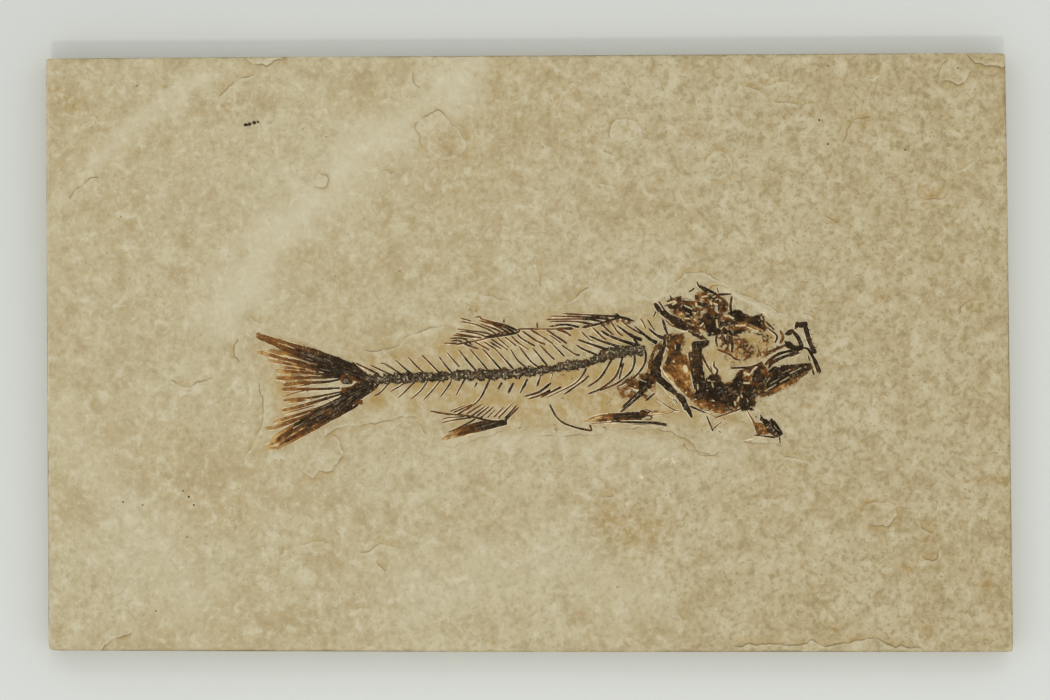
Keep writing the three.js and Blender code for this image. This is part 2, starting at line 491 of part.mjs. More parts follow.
const bones = {
  tail_fin_upper_lobe: [join([plate(UPPER_LOBE_PLATE), ...UPPER_LOBE_RAYS.map(ray)]), DARK_BONE],
  tail_fin_lower_lobe: [join([plate(LOWER_LOBE_PLATE), ...LOWER_LOBE_RAYS.map(ray)]), DARK_BONE],
  backbone_rear: [
    join([
      vertebrae(REAR_RIMS, REAR_CENTRE_LINE, REAR_HALF_WIDTH),
      ...REAR_NEURAL_SPINES.map(spine),
      ...REAR_HAEMAL_SPINES.map(spine),
    ]),
    DARK_BONE,
  ],
  backbone_middle: [vertebrae(MIDDLE_RIMS, MIDDLE_CENTRE_LINE, MIDDLE_HALF_WIDTH), DARK_BONE],
  backbone_front: [
    join([vertebrae(FRONT_RIMS, FRONT_CENTRE_LINE, FRONT_HALF_WIDTH), ...FRONT_NEURAL_SPINES.map(spine)]),
    DARK_BONE,
  ],
  second_dorsal_fin: [
    join([
      sliver(SECOND_DORSAL_BASE, SPINE_WIDTH, SPINE_HEIGHT, true),
      ...SECOND_DORSAL_RAYS.map(ray),
      ...SECOND_DORSAL_SUPPORTS.map(ray),
    ]),
    BROWN_BONE,
  ],
  first_dorsal_fin: [
    join([
      sliver(FIRST_DORSAL_BASE, SPINE_WIDTH, SPINE_HEIGHT, true),
      ...FIRST_DORSAL_RAYS.map(ray),
      ...FIRST_DORSAL_SUPPORTS.map(ray),
    ]),
    DARK_BONE,
  ],
  anal_fin: [
    join([
      sliver(ANAL_BASE, SPINE_WIDTH, SPINE_HEIGHT, true),
      ...ANAL_SUPPORTS.map(ray),
      ...ANAL_RAYS.map(ray),
      plate(ANAL_BUNDLE),
    ]),
    DARK_BONE,
  ],
  pelvic_fin: [plate(PLATES.pelvic_fin), PALE_BONE],
  pelvic_bone: [bar(PELVIC_BONE), DARK_BONE],
  pelvic_girdle: [bar(PELVIC_GIRDLE), BROWN_BONE],
  pectoral_girdle: [join([plate(PLATES.pectoral_mass), ...PECTORAL_RODS.map((rod) => bar(rod))]), BROWN_BONE],
  cleithrum: [bar(CLEITHRUM, PLATE_HEIGHT), DARK_BONE],
  supracleithrum: [join(SUPRACLEITHRUM.map((rod) => bar(rod))), DARK_BONE],
  hyomandibular: [plate(PLATES.hyomandibular), DARK_BONE],
  opercle: [plate(PLATES.opercle), PALE_BONE],
  preopercle: [join([plate(PLATES.preopercle_top), ...PREOPERCLE.map((limb) => bar(limb))]), BROWN_BONE],
  jaw_joint: [plate(PLATES.jaw_joint), DARK_BONE],
  skull_roof_rear: [plate(PLATES.skull_roof_rear), DARK_BONE],
  skull_crest: [join([plate(PLATES.skull_crest), ...CREST_SPIKES.map((spike) => bar(spike))]), BROWN_BONE],
  braincase: [plate(PLATES.braincase), DARK_BONE],
  frontal: [plate(PLATES.frontal), DARK_BONE],
  orbit_roof: [plate(PLATES.orbit_roof), DARK_BONE],
  orbit_rim: [bar(ORBIT_RIM), BROWN_BONE],
  nasal_bone: [bar(NASAL_BONE), BROWN_BONE],
  premaxilla: [join(PREMAXILLA.map((limb) => bar(limb))), DARK_BONE],
  maxilla: [plate(PLATES.maxilla), DARK_BONE],
  lower_jaw: [plate(PLATES.lower_jaw), DARK_BONE],
  hyoid_fragment: [join([plate(PLATES.hyoid_fragment), ...HYOID_SPIKES.map((spike) => bar(spike))]), DARK_BONE],
  gill_splint: [join(GILL_SPLINT.map((part) => bar(part))), BROWN_BONE],
};
for (const [name, path] of Object.entries(LOOSE_SPINES)) {
  bones[name] = [sliver(path, SPINE_WIDTH, SPINE_HEIGHT, true), DARK_BONE];
}
for (const [name, path] of Object.entries(RIBS)) {
  bones[name] = [sliver(path, RIB_WIDTH, RIB_HEIGHT, true), DARK_BONE];
}

const slabOfFish = new THREE.Group();
const slab = new THREE.Mesh(toGeometry(makeSlab()), new THREE.MeshStandardMaterial(STONE));
slab.name = 'slab';
slabOfFish.add(slab);

// The bones all stand on the basin's floor.
const skeleton = new THREE.Group();
skeleton.position.z = BASIN_FLOOR;
for (const [name, [solid, finish]] of Object.entries(bones)) {
  const bone = new THREE.Mesh(toGeometry(solid), new THREE.MeshStandardMaterial(finish));
  bone.name = name;
  skeleton.add(bone);
}
slabOfFish.add(skeleton);

export default slabOfFish;
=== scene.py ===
"""Dresses the fossil fish slab: the limestone tablet, the fish pressed into it, the floor and the lights."""

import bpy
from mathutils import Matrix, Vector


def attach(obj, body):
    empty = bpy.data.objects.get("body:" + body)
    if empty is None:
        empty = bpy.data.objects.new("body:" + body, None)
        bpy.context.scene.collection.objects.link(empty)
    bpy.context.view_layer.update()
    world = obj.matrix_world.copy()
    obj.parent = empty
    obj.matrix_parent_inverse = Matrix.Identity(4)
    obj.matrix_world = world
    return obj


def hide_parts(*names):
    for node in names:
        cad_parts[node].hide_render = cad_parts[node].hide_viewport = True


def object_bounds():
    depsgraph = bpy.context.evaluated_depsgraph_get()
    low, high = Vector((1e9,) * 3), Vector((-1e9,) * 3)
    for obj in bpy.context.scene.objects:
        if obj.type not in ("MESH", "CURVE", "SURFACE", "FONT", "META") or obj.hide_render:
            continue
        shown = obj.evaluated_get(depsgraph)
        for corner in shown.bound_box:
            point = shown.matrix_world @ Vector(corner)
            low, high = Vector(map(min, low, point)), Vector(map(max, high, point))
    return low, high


bl_info = {
    "name": "Fossil Fish Slab",
    "version": (1, 0, 0),
    "blender": (4, 5, 0),
    "location": "3D View > Sidebar > Fossil",
    "description": "Builds a limestone slab with a whole fossil fish in low relief",
    "category": "Add Mesh",
}

import math

import bpy
import numpy as np
from mathutils import Vector
from mathutils.geometry import delaunay_2d_cdt

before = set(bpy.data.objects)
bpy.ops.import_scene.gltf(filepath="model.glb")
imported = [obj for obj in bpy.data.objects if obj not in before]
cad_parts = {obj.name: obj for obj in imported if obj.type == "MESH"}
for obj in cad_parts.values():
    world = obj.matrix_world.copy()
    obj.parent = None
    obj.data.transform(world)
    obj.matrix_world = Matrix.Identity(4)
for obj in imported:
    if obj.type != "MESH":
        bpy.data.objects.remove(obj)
cad_box = [list(corner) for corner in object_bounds()]

MM = 0.001
SLAB_LENGTH = 300.0
SLAB_MARKS = 967.0
# Places in the tables below are marks: pixels of the photograph, counted from its upper left corner.
# One mark in millimetres follows from the slab's length.
PIXEL = SLAB_LENGTH / SLAB_MARKS
MIDDLE_X, MIDDLE_Y = 529.5, 352.5
TALLEST_BONE = 1.1
FACE_HEIGHT = cad_box[1][2] / MM - TALLEST_BONE
IMAGE_WIDTH, IMAGE_HEIGHT = 1050, 700
HALF_SIZE = np.array([150.0, 93.0])
FISH_AREA = (-92.0, 94.0, -35.0, 29.0)
SIDE_LEVELS = 12
BACK_SPACING = 4.0
FILM_HEIGHT = 0.35
PATCH_MARGIN = 1.2
SHELL_LIFT = 0.03
SHELL_DEPTH = 0.22
LATTICE_SIZE = 256


def at(px, py):
    """Place on the slab in millimetres, from left-right and top-down reading marks."""
    return (px - MIDDLE_X) * PIXEL, (MIDDLE_Y - py) * PIXEL


def places(points):
    """Rows of reading marks as an array of millimetres."""
    marks = np.asarray(points, dtype=float)
    return np.stack([(marks[:, 0] - MIDDLE_X) * PIXEL, (MIDDLE_Y - marks[:, 1]) * PIXEL], axis=1)


def linear(red, green, blue):
    """Colour from screen values of 0 to 255 to the shader's own scale."""
    out = []
    for part in (red, green, blue):
        part = part / 255.0
        out.append(part / 12.92 if part <= 0.04045 else ((part + 0.055) / 1.055) ** 2.4)
    return tuple(out)


def ease(value, low, high):
    """Goes smoothly from 0 at low to 1 at high."""
    t = np.clip((value - low) / (high - low), 0.0, 1.0)
    return t * t * (3.0 - 2.0 * t)


LATTICES = {}


def drift(x, y, size, seed):
    """Soft random field from -1 to 1 whose hills are about size across."""
    if seed not in LATTICES:
        LATTICES[seed] = np.random.default_rng(seed).uniform(-1.0, 1.0, (LATTICE_SIZE, LATTICE_SIZE))
    table = LATTICES[seed]
    u = x / size + 91.7
    v = y / size + 53.1
    i = np.floor(u).astype(int)
    j = np.floor(v).astype(int)
    f = u - i
    g = v - j
    f = f * f * (3.0 - 2.0 * f)
    g = g * g * (3.0 - 2.0 * g)
    i0, i1 = i % LATTICE_SIZE, (i + 1) % LATTICE_SIZE
    j0, j1 = j % LATTICE_SIZE, (j + 1) % LATTICE_SIZE
    low = table[i0, j0] * (1.0 - f) + table[i1, j0] * f
    high = table[i0, j1] * (1.0 - f) + table[i1, j1] * f
    return low * (1.0 - g) + high * g


def grain_field(x, y, angle, size, stretch, seed):
    """Streaks that run along the angle, stretch times as long as they are wide."""
    turn = math.radians(angle)
    along = x * math.cos(turn) + y * math.sin(turn)
    across = y * math.cos(turn) - x * math.sin(turn)
    bend = 0.4 * size * drift(x, y, size * stretch, seed + 7)
    return drift(along / stretch, across + bend, size, seed)


def chain_distance(x, y, points, widths=None, spread=6.0):
    """Distance from each place to a chain of points, its side, and the share of the way along.

    With half widths the distance is measured from the tapering edge, so it is negative on the chain."""
    results = [np.full(x.shape, 1e6), np.ones(x.shape), np.zeros(x.shape)]
    low, high = points.min(axis=0) - spread, points.max(axis=0) + spread
    close = (x > low[0]) & (x < high[0]) & (y > low[1]) & (y < high[1])
    x, y = x[close], y[close]
    best, side, share = (result[close] for result in results)
    steps = np.hypot(*np.diff(points, axis=0).T)
    total = max(steps.sum(), 1e-9)
    walked = 0.0
    for k, length in enumerate(steps):
        ax, ay = points[k]
        dx, dy = points[k + 1] - points[k]
        near = (
            (x > min(ax, ax + dx) - spread) & (x < max(ax, ax + dx) + spread)
            & (y > min(ay, ay + dy) - spread) & (y < max(ay, ay + dy) + spread)
        )
        if near.any() and length > 0.0:
            lx, ly = x[near] - ax, y[near] - ay
            t = np.clip((lx * dx + ly * dy) / (length * length), 0.0, 1.0)
            gap = np.hypot(lx - t * dx, ly - t * dy)
            if widths is not None:
                gap = gap - (widths[k] * (1.0 - t) + widths[k + 1] * t)
            old = best[near]
            better = gap < old
            best[near] = np.where(better, gap, old)
            side[near] = np.where(better, np.sign(dx * ly - dy * lx + 1e-12), side[near])
            share[near] = np.where(better, (walked + t * length) / total, share[near])
        walked += length
    for result, found in zip(results, (best, side, share)):
        result[close] = found
    return results


def ring_distance(x, y, ring):
    """Distance to a closed outline, positive inside it."""
    closed = np.vstack([ring, ring[:1]])
    gap, _, _ = chain_distance(x, y, closed, spread=4.0)
    inside = np.zeros(x.shape, dtype=bool)
    for k in range(len(ring)):
        ax, ay = closed[k]
        bx, by = closed[k + 1]
        if ay == by:
            continue
        crosses = ((ay > y) != (by > y)) & (x < (bx - ax) * (y - ay) / (by - ay) + ax)
        inside ^= crosses
    return np.where(inside, gap, -gap)


def walk(points, step):
    """The same chain with a point every step or less, its old points kept."""
    out = [points[0]]
    for a, b in zip(points[:-1], points[1:]):
        count = max(1, int(math.ceil(np.hypot(*(b - a)) / step)))
        for k in range(1, count + 1):
            out.append(a + (b - a) * (k / count))
    return np.array(out)


def smooth_chain(points, per=4):
    """A soft curve through the points."""
    if len(points) < 3:
        return points
    padded = np.vstack([2 * points[0] - points[1], points, 2 * points[-1] - points[-2]])
    out = []
    for k in range(1, len(padded) - 2):
        p0, p1, p2, p3 = padded[k - 1:k + 3]
        for s in range(per):
            t = s / per
            out.append(0.5 * (2 * p1 + (p2 - p0) * t + (2 * p0 - 5 * p1 + 4 * p2 - p3) * t * t
                              + (3 * p1 - p0 - 3 * p2 + p3) * t ** 3))
    out.append(padded[-2])
    return np.array(out)


class Wire:
    """One socket of a node tree, so that a shader's sums read as plain expressions."""

    def __init__(self, tree, socket=None):
        self.tree = tree
        self.socket = socket

    def node(self, kind, settings=(), inputs=(), output=0):
        """Adds a node: its settings first, then the values or wires of its sockets."""
        made = self.tree.nodes.new(kind)
        for name, value in dict(settings).items():
            if name == "stops":
                ramp = made.color_ramp
                while len(ramp.elements) < len(value):
                    ramp.elements.new(0.5)
                for element, (place, colour) in zip(ramp.elements, value):
                    element.position = place
                    element.color = (*colour, 1.0)
            else:
                setattr(made, name, value)
        for key, value in dict(inputs).items():
            if isinstance(value, Wire):
                self.tree.links.new(value.socket, made.inputs[key])
            elif value is not None:
                made.inputs[key].default_value = value
        return Wire(self.tree, made.outputs[output])

    def sum(self, operation, other=None, reverse=False):
        pair = (other, self) if reverse else (self, other)
        return self.node("ShaderNodeMath", {"operation": operation}, {0: pair[0], 1: pair[1]})

    def __add__(self, other):
        return self.sum("ADD", other)

    __radd__ = __add__

    def __sub__(self, other):
        return self.sum("SUBTRACT", other)

    def __rsub__(self, other):
        return self.sum("SUBTRACT", other, True)

    def __mul__(self, other):
        return self.sum("MULTIPLY", other)

    __rmul__ = __mul__

    def __pow__(self, other):
        return self.sum("POWER", other)

    def rise(self, low, high):
        """0 below low, 1 above high, with a soft step between."""
        return self.node("ShaderNodeMapRange", {"interpolation_type": "SMOOTHSTEP"},
                         {0: self, 1: low, 2: high, 3: 0.0, 4: 1.0})

    def blend(self, first, second):
        """The first colour where this is 0, the second where it is 1."""
        pick = {0: self}
        for key, colour in ((6, first), (7, second)):
            pick[key] = colour if isinstance(colour, Wire) else (*colour, 1.0)
        return self.node("ShaderNodeMix", {"data_type": "RGBA"}, pick, 2)

    def noise(self, size, detail=2.0, roughness=0.5, warp=0.0, seed=0.0):
        """Cloudy pattern whose patches are about size millimetres across."""
        return self.node("ShaderNodeTexNoise", {"noise_dimensions": "4D"},
                         {"Vector": self, "W": seed, "Scale": 1.0 / (size * MM), "Detail": detail,
                          "Roughness": roughness, "Distortion": warp})

    def stretched(self, scale, turn=0.0):
        """The same place, stretched along each axis and turned about Z."""
        return self.node("ShaderNodeMapping", {"vector_type": "POINT"},
                         {"Vector": self, "Rotation": (0.0, 0.0, turn), "Scale": scale})


def new_finish(name):
    """A bare material with its shader, the place on the object and a start wire."""
    finish = bpy.data.materials.new(name)
    finish.use_nodes = True
    tree = finish.node_tree
    tree.nodes.clear()
    start = Wire(tree)
    place = start.node("ShaderNodeTexCoord", output="Object")
    shader = tree.nodes.new("ShaderNodeBsdfPrincipled")
    out = tree.nodes.new("ShaderNodeOutputMaterial")
    tree.links.new(shader.outputs[0], out.inputs[0])
    return finish, start, place, shader


def feed(shader, name, wire):
    wire.tree.links.new(wire.socket, shader.inputs[name])


def attribute(start, name):
    """Red, green, blue and alpha of a painted attribute as four wires."""
    reader = start.tree.nodes.new("ShaderNodeAttribute")
    reader.attribute_name = name
    parts = start.tree.nodes.new("ShaderNodeSeparateColor")
    start.tree.links.new(reader.outputs["Color"], parts.inputs[0])
    wires = [Wire(start.tree, parts.outputs[k]) for k in range(3)]
    return wires + [Wire(start.tree, reader.outputs["Alpha"])]


def limestone_finish(look):
    """Tan laminated limestone: soft olive-brown mottles, pale bands, rust stains and dark grains."""
    finish, start, place, shader = new_finish("limestone")
    pale, stain, warm, dark = attribute(start, "marks")
    flat = place.stretched((1.0, 1.0, 5.0))
    wide = flat.noise(34.0, 3.0, 0.55, 0.6, 1.0)
    mottle = flat.noise(4.2, 4.0, 0.60, 0.6, 2.0)
    patches = flat.noise(10.0, 3.0, 0.55, 0.8, 3.0)
    fleck = flat.noise(1.7, 3.0, 0.62, 0.4, 4.0)
    dots = flat.noise(0.95, 2.0, 0.55, 0.0, 6.0)
    grit = flat.noise(0.40, 2.0, 0.7, 0.0, 5.0)
    right = place.node("ShaderNodeSeparateXYZ", inputs={0: place}, output=0).rise(-0.08, 0.15)
    olive = mottle.rise(0.48, 0.66) * (0.38 + 0.62 * right)
    colour = wide.rise(0.30, 0.72).blend(look.pale_tan, look.tan)
    colour = (patches.rise(0.42, 0.72) * 0.55).blend(colour, look.brown_tan)
    colour = (olive * 0.50).blend(colour, look.olive)
    colour = (fleck.rise(0.50, 0.64) * (0.28 + 0.42 * right)).blend(colour, look.olive)
    colour = ((1.0 - mottle).rise(0.52, 0.68) * 0.55).blend(colour, look.pale_stone)
    colour = ((1.0 - fleck).rise(0.54, 0.68) * 0.40).blend(colour, look.pale_stone)
    colour = (dots.rise(0.60, 0.72) * (0.4 + 0.4 * right)).blend(colour, look.olive)
    colour = (right * 0.20).blend(colour, look.brown_tan)
    # Pale channel: pale bands of the stone, and a painted highlight along the high side of each ledge.
    colour = (pale * (0.35 + 0.75 * patches)).blend(colour, look.pale_stone)
    colour = (warm * (0.40 + 0.75 * mottle.rise(0.38, 0.62))).blend(colour, look.warm_tan)
    colour = (stain * (0.25 + 0.9 * fleck.rise(0.36, 0.62))).blend(colour, look.rust)
    # Dark channel: a dark brown line along each ledge and along the right and bottom edges, and a faint brown
    # tint on the sides and back.
    colour = dark.blend(colour, look.ledge_brown)
    colour = ((grit.rise(0.45, 0.75)) * 0.16).blend(colour, look.pale_stone)
    feed(shader, "Base Color", colour)
    feed(shader, "Roughness", 0.78 + 0.16 * fleck)
    shader.inputs["Specular IOR Level"].default_value = 0.22
    bump = place.node("ShaderNodeBump", {}, {"Strength": 0.55, "Distance": 0.00016,
                      "Height": 0.5 * mottle + 0.8 * fleck + 0.9 * grit})
    feed(shader, "Normal", bump)
    return finish


def bone_finish(name, look, amber_lift):
    """Crushed fossil bone: near-black mineral with grey streaks, thinning through brown to amber."""
    finish, start, place, shader = new_finish(name)
    # Tone channels: amber share, share of painted highlight, bare stone, and share of pale specks.
    amber, glint_paint, bare, fleck_and_glint_share = attribute(start, "tone")
    cloud = place.noise(1.7, 3.0, 0.6, 0.5, 11.0)
    fine = place.noise(0.55, 3.0, 0.68, 0.3, 12.0)
    spark = place.noise(0.34, 2.0, 0.6, 0.0, 13.0)
    level = amber + amber_lift + 0.62 * (cloud - 0.5) + 0.34 * (fine - 0.5)
    colour = level.node("ShaderNodeValToRGB", {"stops": [
        (0.0, look.black_bone), (0.23, look.dark_bone), (0.46, look.brown_bone),
        (0.74, look.red_amber), (0.95, look.amber), (1.0, look.pale_amber_and_highlight)]}, {0: level})
    # Painted highlight: a grey glint colour on dark bone and pale amber on amber bone, laid where the
    # highlight channel and fine noise are high.
    light = level.rise(0.15, 0.6).blend(look.painted_highlight_grey, look.pale_amber_and_highlight)
    colour = (glint_paint * (0.15 + 0.95 * fine.rise(0.38, 0.62))).blend(colour, light)
    colour = (fine.rise(0.58, 0.74) * 0.22).blend(colour, light)
    # Pale specks, partly flecks of bone and partly painted highlight.
    colour = (spark.rise(0.60, 0.72) * fleck_and_glint_share).blend(colour, look.fleck)
    # Bare stone and pale spots in the fleck colour; part of it is painted highlight from the vertebrae and
    # from the small pale strokes.
    colour = (bare * (0.45 + 0.9 * fine)).blend(colour, look.fleck)
    feed(shader, "Base Color", colour)
    feed(shader, "Roughness", 0.42 + 0.30 * fine + 0.25 * bare)
    shader.inputs["Specular IOR Level"].default_value = 0.07
    bump = place.node("ShaderNodeBump", {}, {"Strength": 0.7, "Distance": 0.00018,
                      "Height": cloud + 1.1 * fine})
    feed(shader, "Normal", bump)
    return finish


def scraped_and_lit_finish(look):
    """Stone that the needle has scraped, paler and chalkier than the weathered face."""
    finish, start, place, shader = new_finish("scraped_limestone")
    cloud = place.noise(2.2, 3.0, 0.6, 0.3, 15.0)
    chalk = place.noise(0.4, 2.0, 0.6, 0.0, 16.0)
    colour = cloud.rise(0.35, 0.65).blend(look.tan, look.scraped)
    colour = (0.5 * chalk.rise(0.4, 0.7)).blend(colour, look.scraped)
    feed(shader, "Base Color", colour)
    feed(shader, "Roughness", 0.85 + 0.1 * chalk)
    shader.inputs["Specular IOR Level"].default_value = 0.2
    bump = place.node("ShaderNodeBump", {}, {"Strength": 0.4, "Distance": 0.0001, "Height": chalk})
    feed(shader, "Normal", bump)
    return finish


def floor_finish(look):
    """Matt pale studio floor with a trace of tooth."""
    finish, start, place, shader = new_finish("studio_floor")
    axes = [place.node("ShaderNodeSeparateXYZ", inputs={0: place}, output=k) for k in (0, 1)]
    tooth = place.noise(1.2, 2.0, 0.6, 0.0, 22.0)
    # Painted shade: the floor colour fades to a dimmer copy towards the top and the left.
    corner = (0.7 * axes[1] - 0.3 * axes[0]).rise(-0.10, 0.17)
    shaded_floor = tuple(part * 0.92 for part in look.floor)
    feed(shader, "Base Color", (corner + 0.1 * tooth).blend(look.floor, shaded_floor))
    shader.inputs["Roughness"].default_value = 0.9
    shader.inputs["Specular IOR Level"].default_value = 0.1
    return finish


def new_mesh(name, points, faces, paint=None, paint_name="tone"):
    """A mesh in metres from millimetre points, with an optional painted attribute."""
    mesh = bpy.data.meshes.new(name)
    mesh.from_pydata((np.asarray(points) * MM).tolist(), [], faces)
    if paint is not None:
        layer = mesh.attributes.new(paint_name, "FLOAT_COLOR", "POINT")
        layer.data.foreach_set("color", np.asarray(paint, dtype=np.float32).ravel())
    mesh.validate()
    mesh.update()
    return mesh


def new_piece(name, mesh, finish, nodes=(), smooth=True):
    """Puts a finished mesh in the scene as one piece of the slab."""
    piece = bpy.data.objects.new(name, mesh)
    bpy.context.scene.collection.objects.link(piece)
    mesh.materials.clear()
    mesh.materials.append(finish)
    mesh.polygons.foreach_set("use_smooth", [smooth] * len(mesh.polygons))
    mesh.polygons.foreach_set("material_index", [0] * len(mesh.polygons))
    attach(piece, "root")
    if nodes:
        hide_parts(*nodes)
    return piece


class Heap:
    """Collects points, faces and paint of several shapes that end as one mesh."""

    def __init__(self):
        self.points = []
        self.faces = []
        self.paint = []
        self.count = 0

    def add(self, points, faces, paint):
        self.faces.extend([tuple(k + self.count for k in face) for face in faces])
        self.points.append(np.asarray(points, dtype=float))
        self.paint.append(np.asarray(paint, dtype=float))
        self.count += len(points)

    def add_mesh(self, mesh, paint):
        points = np.empty(len(mesh.vertices) * 3)
        mesh.vertices.foreach_get("co", points)
        faces = [tuple(face.vertices) for face in mesh.polygons]
        self.add(points.reshape(-1, 3) / MM, faces, paint)

    def mesh(self, name, paint_name="tone"):
        return new_mesh(name, np.vstack(self.points), self.faces, np.vstack(self.paint), paint_name)


def new_tree(name, inputs):
    """A geometry tree with a geometry input, named number inputs and a geometry output."""
    tree = bpy.data.node_groups.new(name, "GeometryNodeTree")
    tree.interface.new_socket("Geometry", in_out="INPUT", socket_type="NodeSocketGeometry")
    for label, value in inputs:
        kind = "NodeSocketInt" if isinstance(value, int) else "NodeSocketFloat"
        made = tree.interface.new_socket(label, in_out="INPUT", socket_type=kind)
        made.default_value = value
    tree.interface.new_socket("Geometry", in_out="OUTPUT", socket_type="NodeSocketGeometry")
    start = Wire(tree)
    entry = tree.nodes.new("NodeGroupInput")
    wires = {socket.name: Wire(tree, socket) for socket in entry.outputs if socket.name}
    return tree, start, wires


def end_tree(tree, wire, finish):
    """Realizes what the tree made, gives it its finish and sends it out."""
    real = wire.node("GeometryNodeRealizeInstances", {}, {0: wire})
    done = wire.node("GeometryNodeSetMaterial", {}, {0: real, "Material": finish})
    leave = tree.nodes.new("NodeGroupOutput")
    tree.links.new(done.socket, leave.inputs[0])


def roughen(start, shape, amount, size, seed):
    """Moves the surface in and out along its own direction by a cloudy pattern."""
    place = start.node("GeometryNodeInputPosition")
    facing = start.node("GeometryNodeInputNormal")
    cloud = place.noise(1.0, 2.0, 0.6, 0.0, seed)
    start.tree.links.new(size.socket, cloud.socket.node.inputs["Scale"])
    push = start.node("ShaderNodeVectorMath", {"operation": "SCALE"},
                      {0: facing, "Scale": (cloud - 0.5) * amount})
    return start.node("GeometryNodeSetPosition", {}, {"Geometry": shape, "Offset": push})


def bone_tree(finish):
    """Sweeps a flattened round section along each chain of points, as wide as the points say."""
    tree, start, given = new_tree("swept_bone", [
        ("Spacing", 0.25 * MM), ("Sides", 8), ("Flatness", 0.7), ("Roughness", 0.12 * MM), ("Grain", 1800.0)])
    curve = start.node("GeometryNodeMeshToCurve", {}, {0: given["Geometry"]})
    curve = start.node("GeometryNodeResampleCurve", {"mode": "LENGTH"},
                       {"Curve": curve, "Length": given["Spacing"]})
    curve = start.node("GeometryNodeSetCurveNormal", {"mode": "Z_UP"}, {"Curve": curve})
    width = start.node("GeometryNodeInputNamedAttribute", {"data_type": "FLOAT"}, {"Name": "half_width"})
    place = start.node("GeometryNodeInputPosition")
    swell = width * (0.72 + 0.56 * place.noise(0.9, 2.0, 0.6, 0.0, 31.0))
    section = start.node("GeometryNodeCurvePrimitiveCircle", {"mode": "RADIUS"},
                         {"Resolution": given["Sides"], "Radius": 1.0})
    flat = start.node("ShaderNodeCombineXYZ", {}, {"X": 1.0, "Y": given["Flatness"], "Z": 1.0})
    section = start.node("GeometryNodeTransform", {}, {"Geometry": section, "Scale": flat})
    shape = start.node("GeometryNodeCurveToMesh", {},
                       {"Curve": curve, "Profile Curve": section, "Scale": swell, "Fill Caps": True})
    shape = roughen(start, shape, given["Roughness"], given["Grain"], 32.0)
    end_tree(tree, shape, finish)
    return tree


def scatter_tree(finish, form):
    """Sets a copy of the form on each point, turned at random and as large as the point says."""
    tree, start, given = new_tree("scattered_" + form.name, [
        ("Tilt", 3.1), ("Roughness", 0.1 * MM), ("Grain", 2500.0), ("Seed", 5)])
    source = start.node("GeometryNodeObjectInfo", {}, {"Object": form}, "Geometry")
    size = start.node("GeometryNodeInputNamedAttribute", {"data_type": "FLOAT"}, {"Name": "half_width"})
    turn = start.node("FunctionNodeRandomValue", {"data_type": "FLOAT_VECTOR"}, {"Seed": given["Seed"]})
    low = start.node("ShaderNodeCombineXYZ", {}, {0: given["Tilt"] * -1.0, 1: given["Tilt"] * -1.0, 2: -3.1})
    high = start.node("ShaderNodeCombineXYZ", {}, {0: given["Tilt"], 1: given["Tilt"], 2: 3.1})
    tree.links.new(low.socket, turn.socket.node.inputs[0])
    tree.links.new(high.socket, turn.socket.node.inputs[1])
    scale = start.node("ShaderNodeCombineXYZ", {}, {0: size, 1: size, 2: size * 0.75})
    copies = start.node("GeometryNodeInstanceOnPoints", {}, {"Points": given["Geometry"], "Instance": source,
                        "Rotation": turn, "Scale": scale})
    real = start.node("GeometryNodeRealizeInstances", {}, {0: copies})
    shape = roughen(start, real, given["Roughness"], given["Grain"], 33.0)
    end_tree(tree, shape, finish)
    return tree


def grow(name, tree, points, edges, values, settings=()):
    """Runs a geometry tree on a chain or cloud of points and returns the plain mesh."""
    mesh = bpy.data.meshes.new(name)
    mesh.from_pydata((np.asarray(points) * MM).tolist(), edges, [])
    for label, data in values.items():
        layer = mesh.attributes.new(label, "FLOAT", "POINT")
        layer.data.foreach_set("value", np.asarray(data, dtype=np.float32))
    holder = bpy.data.objects.new(name, mesh)
    bpy.context.scene.collection.objects.link(holder)
    modifier = holder.modifiers.new(name, "NODES")
    modifier.node_group = tree
    wanted = dict(settings)
    for item in tree.interface.items_tree:
        if item.item_type == "SOCKET" and item.in_out == "INPUT" and item.name in wanted:
            modifier[item.identifier] = wanted[item.name]
    graph = bpy.context.evaluated_depsgraph_get()
    made = bpy.data.meshes.new_from_object(holder.evaluated_get(graph), depsgraph=graph)
    holder.modifiers.clear()
    bpy.data.objects.remove(holder)
    bpy.data.meshes.remove(mesh)
    if not len(made.polygons):
        raise RuntimeError(name + ": the geometry tree made nothing")
    return made


def read_layer(mesh, label, size=1):
    """A point attribute of a finished mesh as an array."""
    layer = mesh.attributes.get(label)
    out = np.zeros(len(mesh.vertices) * size, dtype=np.float32)
    if layer is not None and layer.domain == "POINT":
        layer.data.foreach_get("value", out)
    return out


SLAB_OUTLINE = [
    (46, 60), (48, 58.5), (150, 58), (240, 57.5), (262, 58), (288, 56.8), (415, 56.5), (530, 56.2),
    (640, 55.5),
    (760, 54.6), (860, 54), (940, 53.2), (950, 53.6), (968, 53), (1002, 53), (1005, 54.5), (1007.5, 200),
    (1009, 360), (1010.4, 440), (1011, 520), (1012.6, 600), (1013, 648), (1012, 651), (1009, 652),
    (930, 651.8),
    (780, 651.5), (640, 652), (480, 652), (340, 651), (240, 650.5), (120, 650.8), (54, 650.5), (50, 649),
    (48.5, 645), (48.2, 520), (47.5, 400), (47, 300), (46.5, 240), (46.2, 120),
]
BASIN = [
    (240, 345), (246, 330), (262, 322), (300, 338), (340, 347), (375, 352), (402, 341), (430, 329),
    (448, 325),
    (464, 300), (506, 297), (557, 306), (578, 297), (610, 285), (650, 296), (672, 285), (690, 274),
    (722, 279),
    (760, 302), (788, 316), (814, 315), (826, 340), (826, 368), (810, 388), (770, 406), (792, 438),
    (745, 447),
    (715, 455), (685, 441), (651, 428), (595, 434), (520, 435), (475, 439), (440, 444), (413, 420),
    (352, 426),
    (312, 443), (258, 462), (241, 440), (262, 400), (246, 365),
]
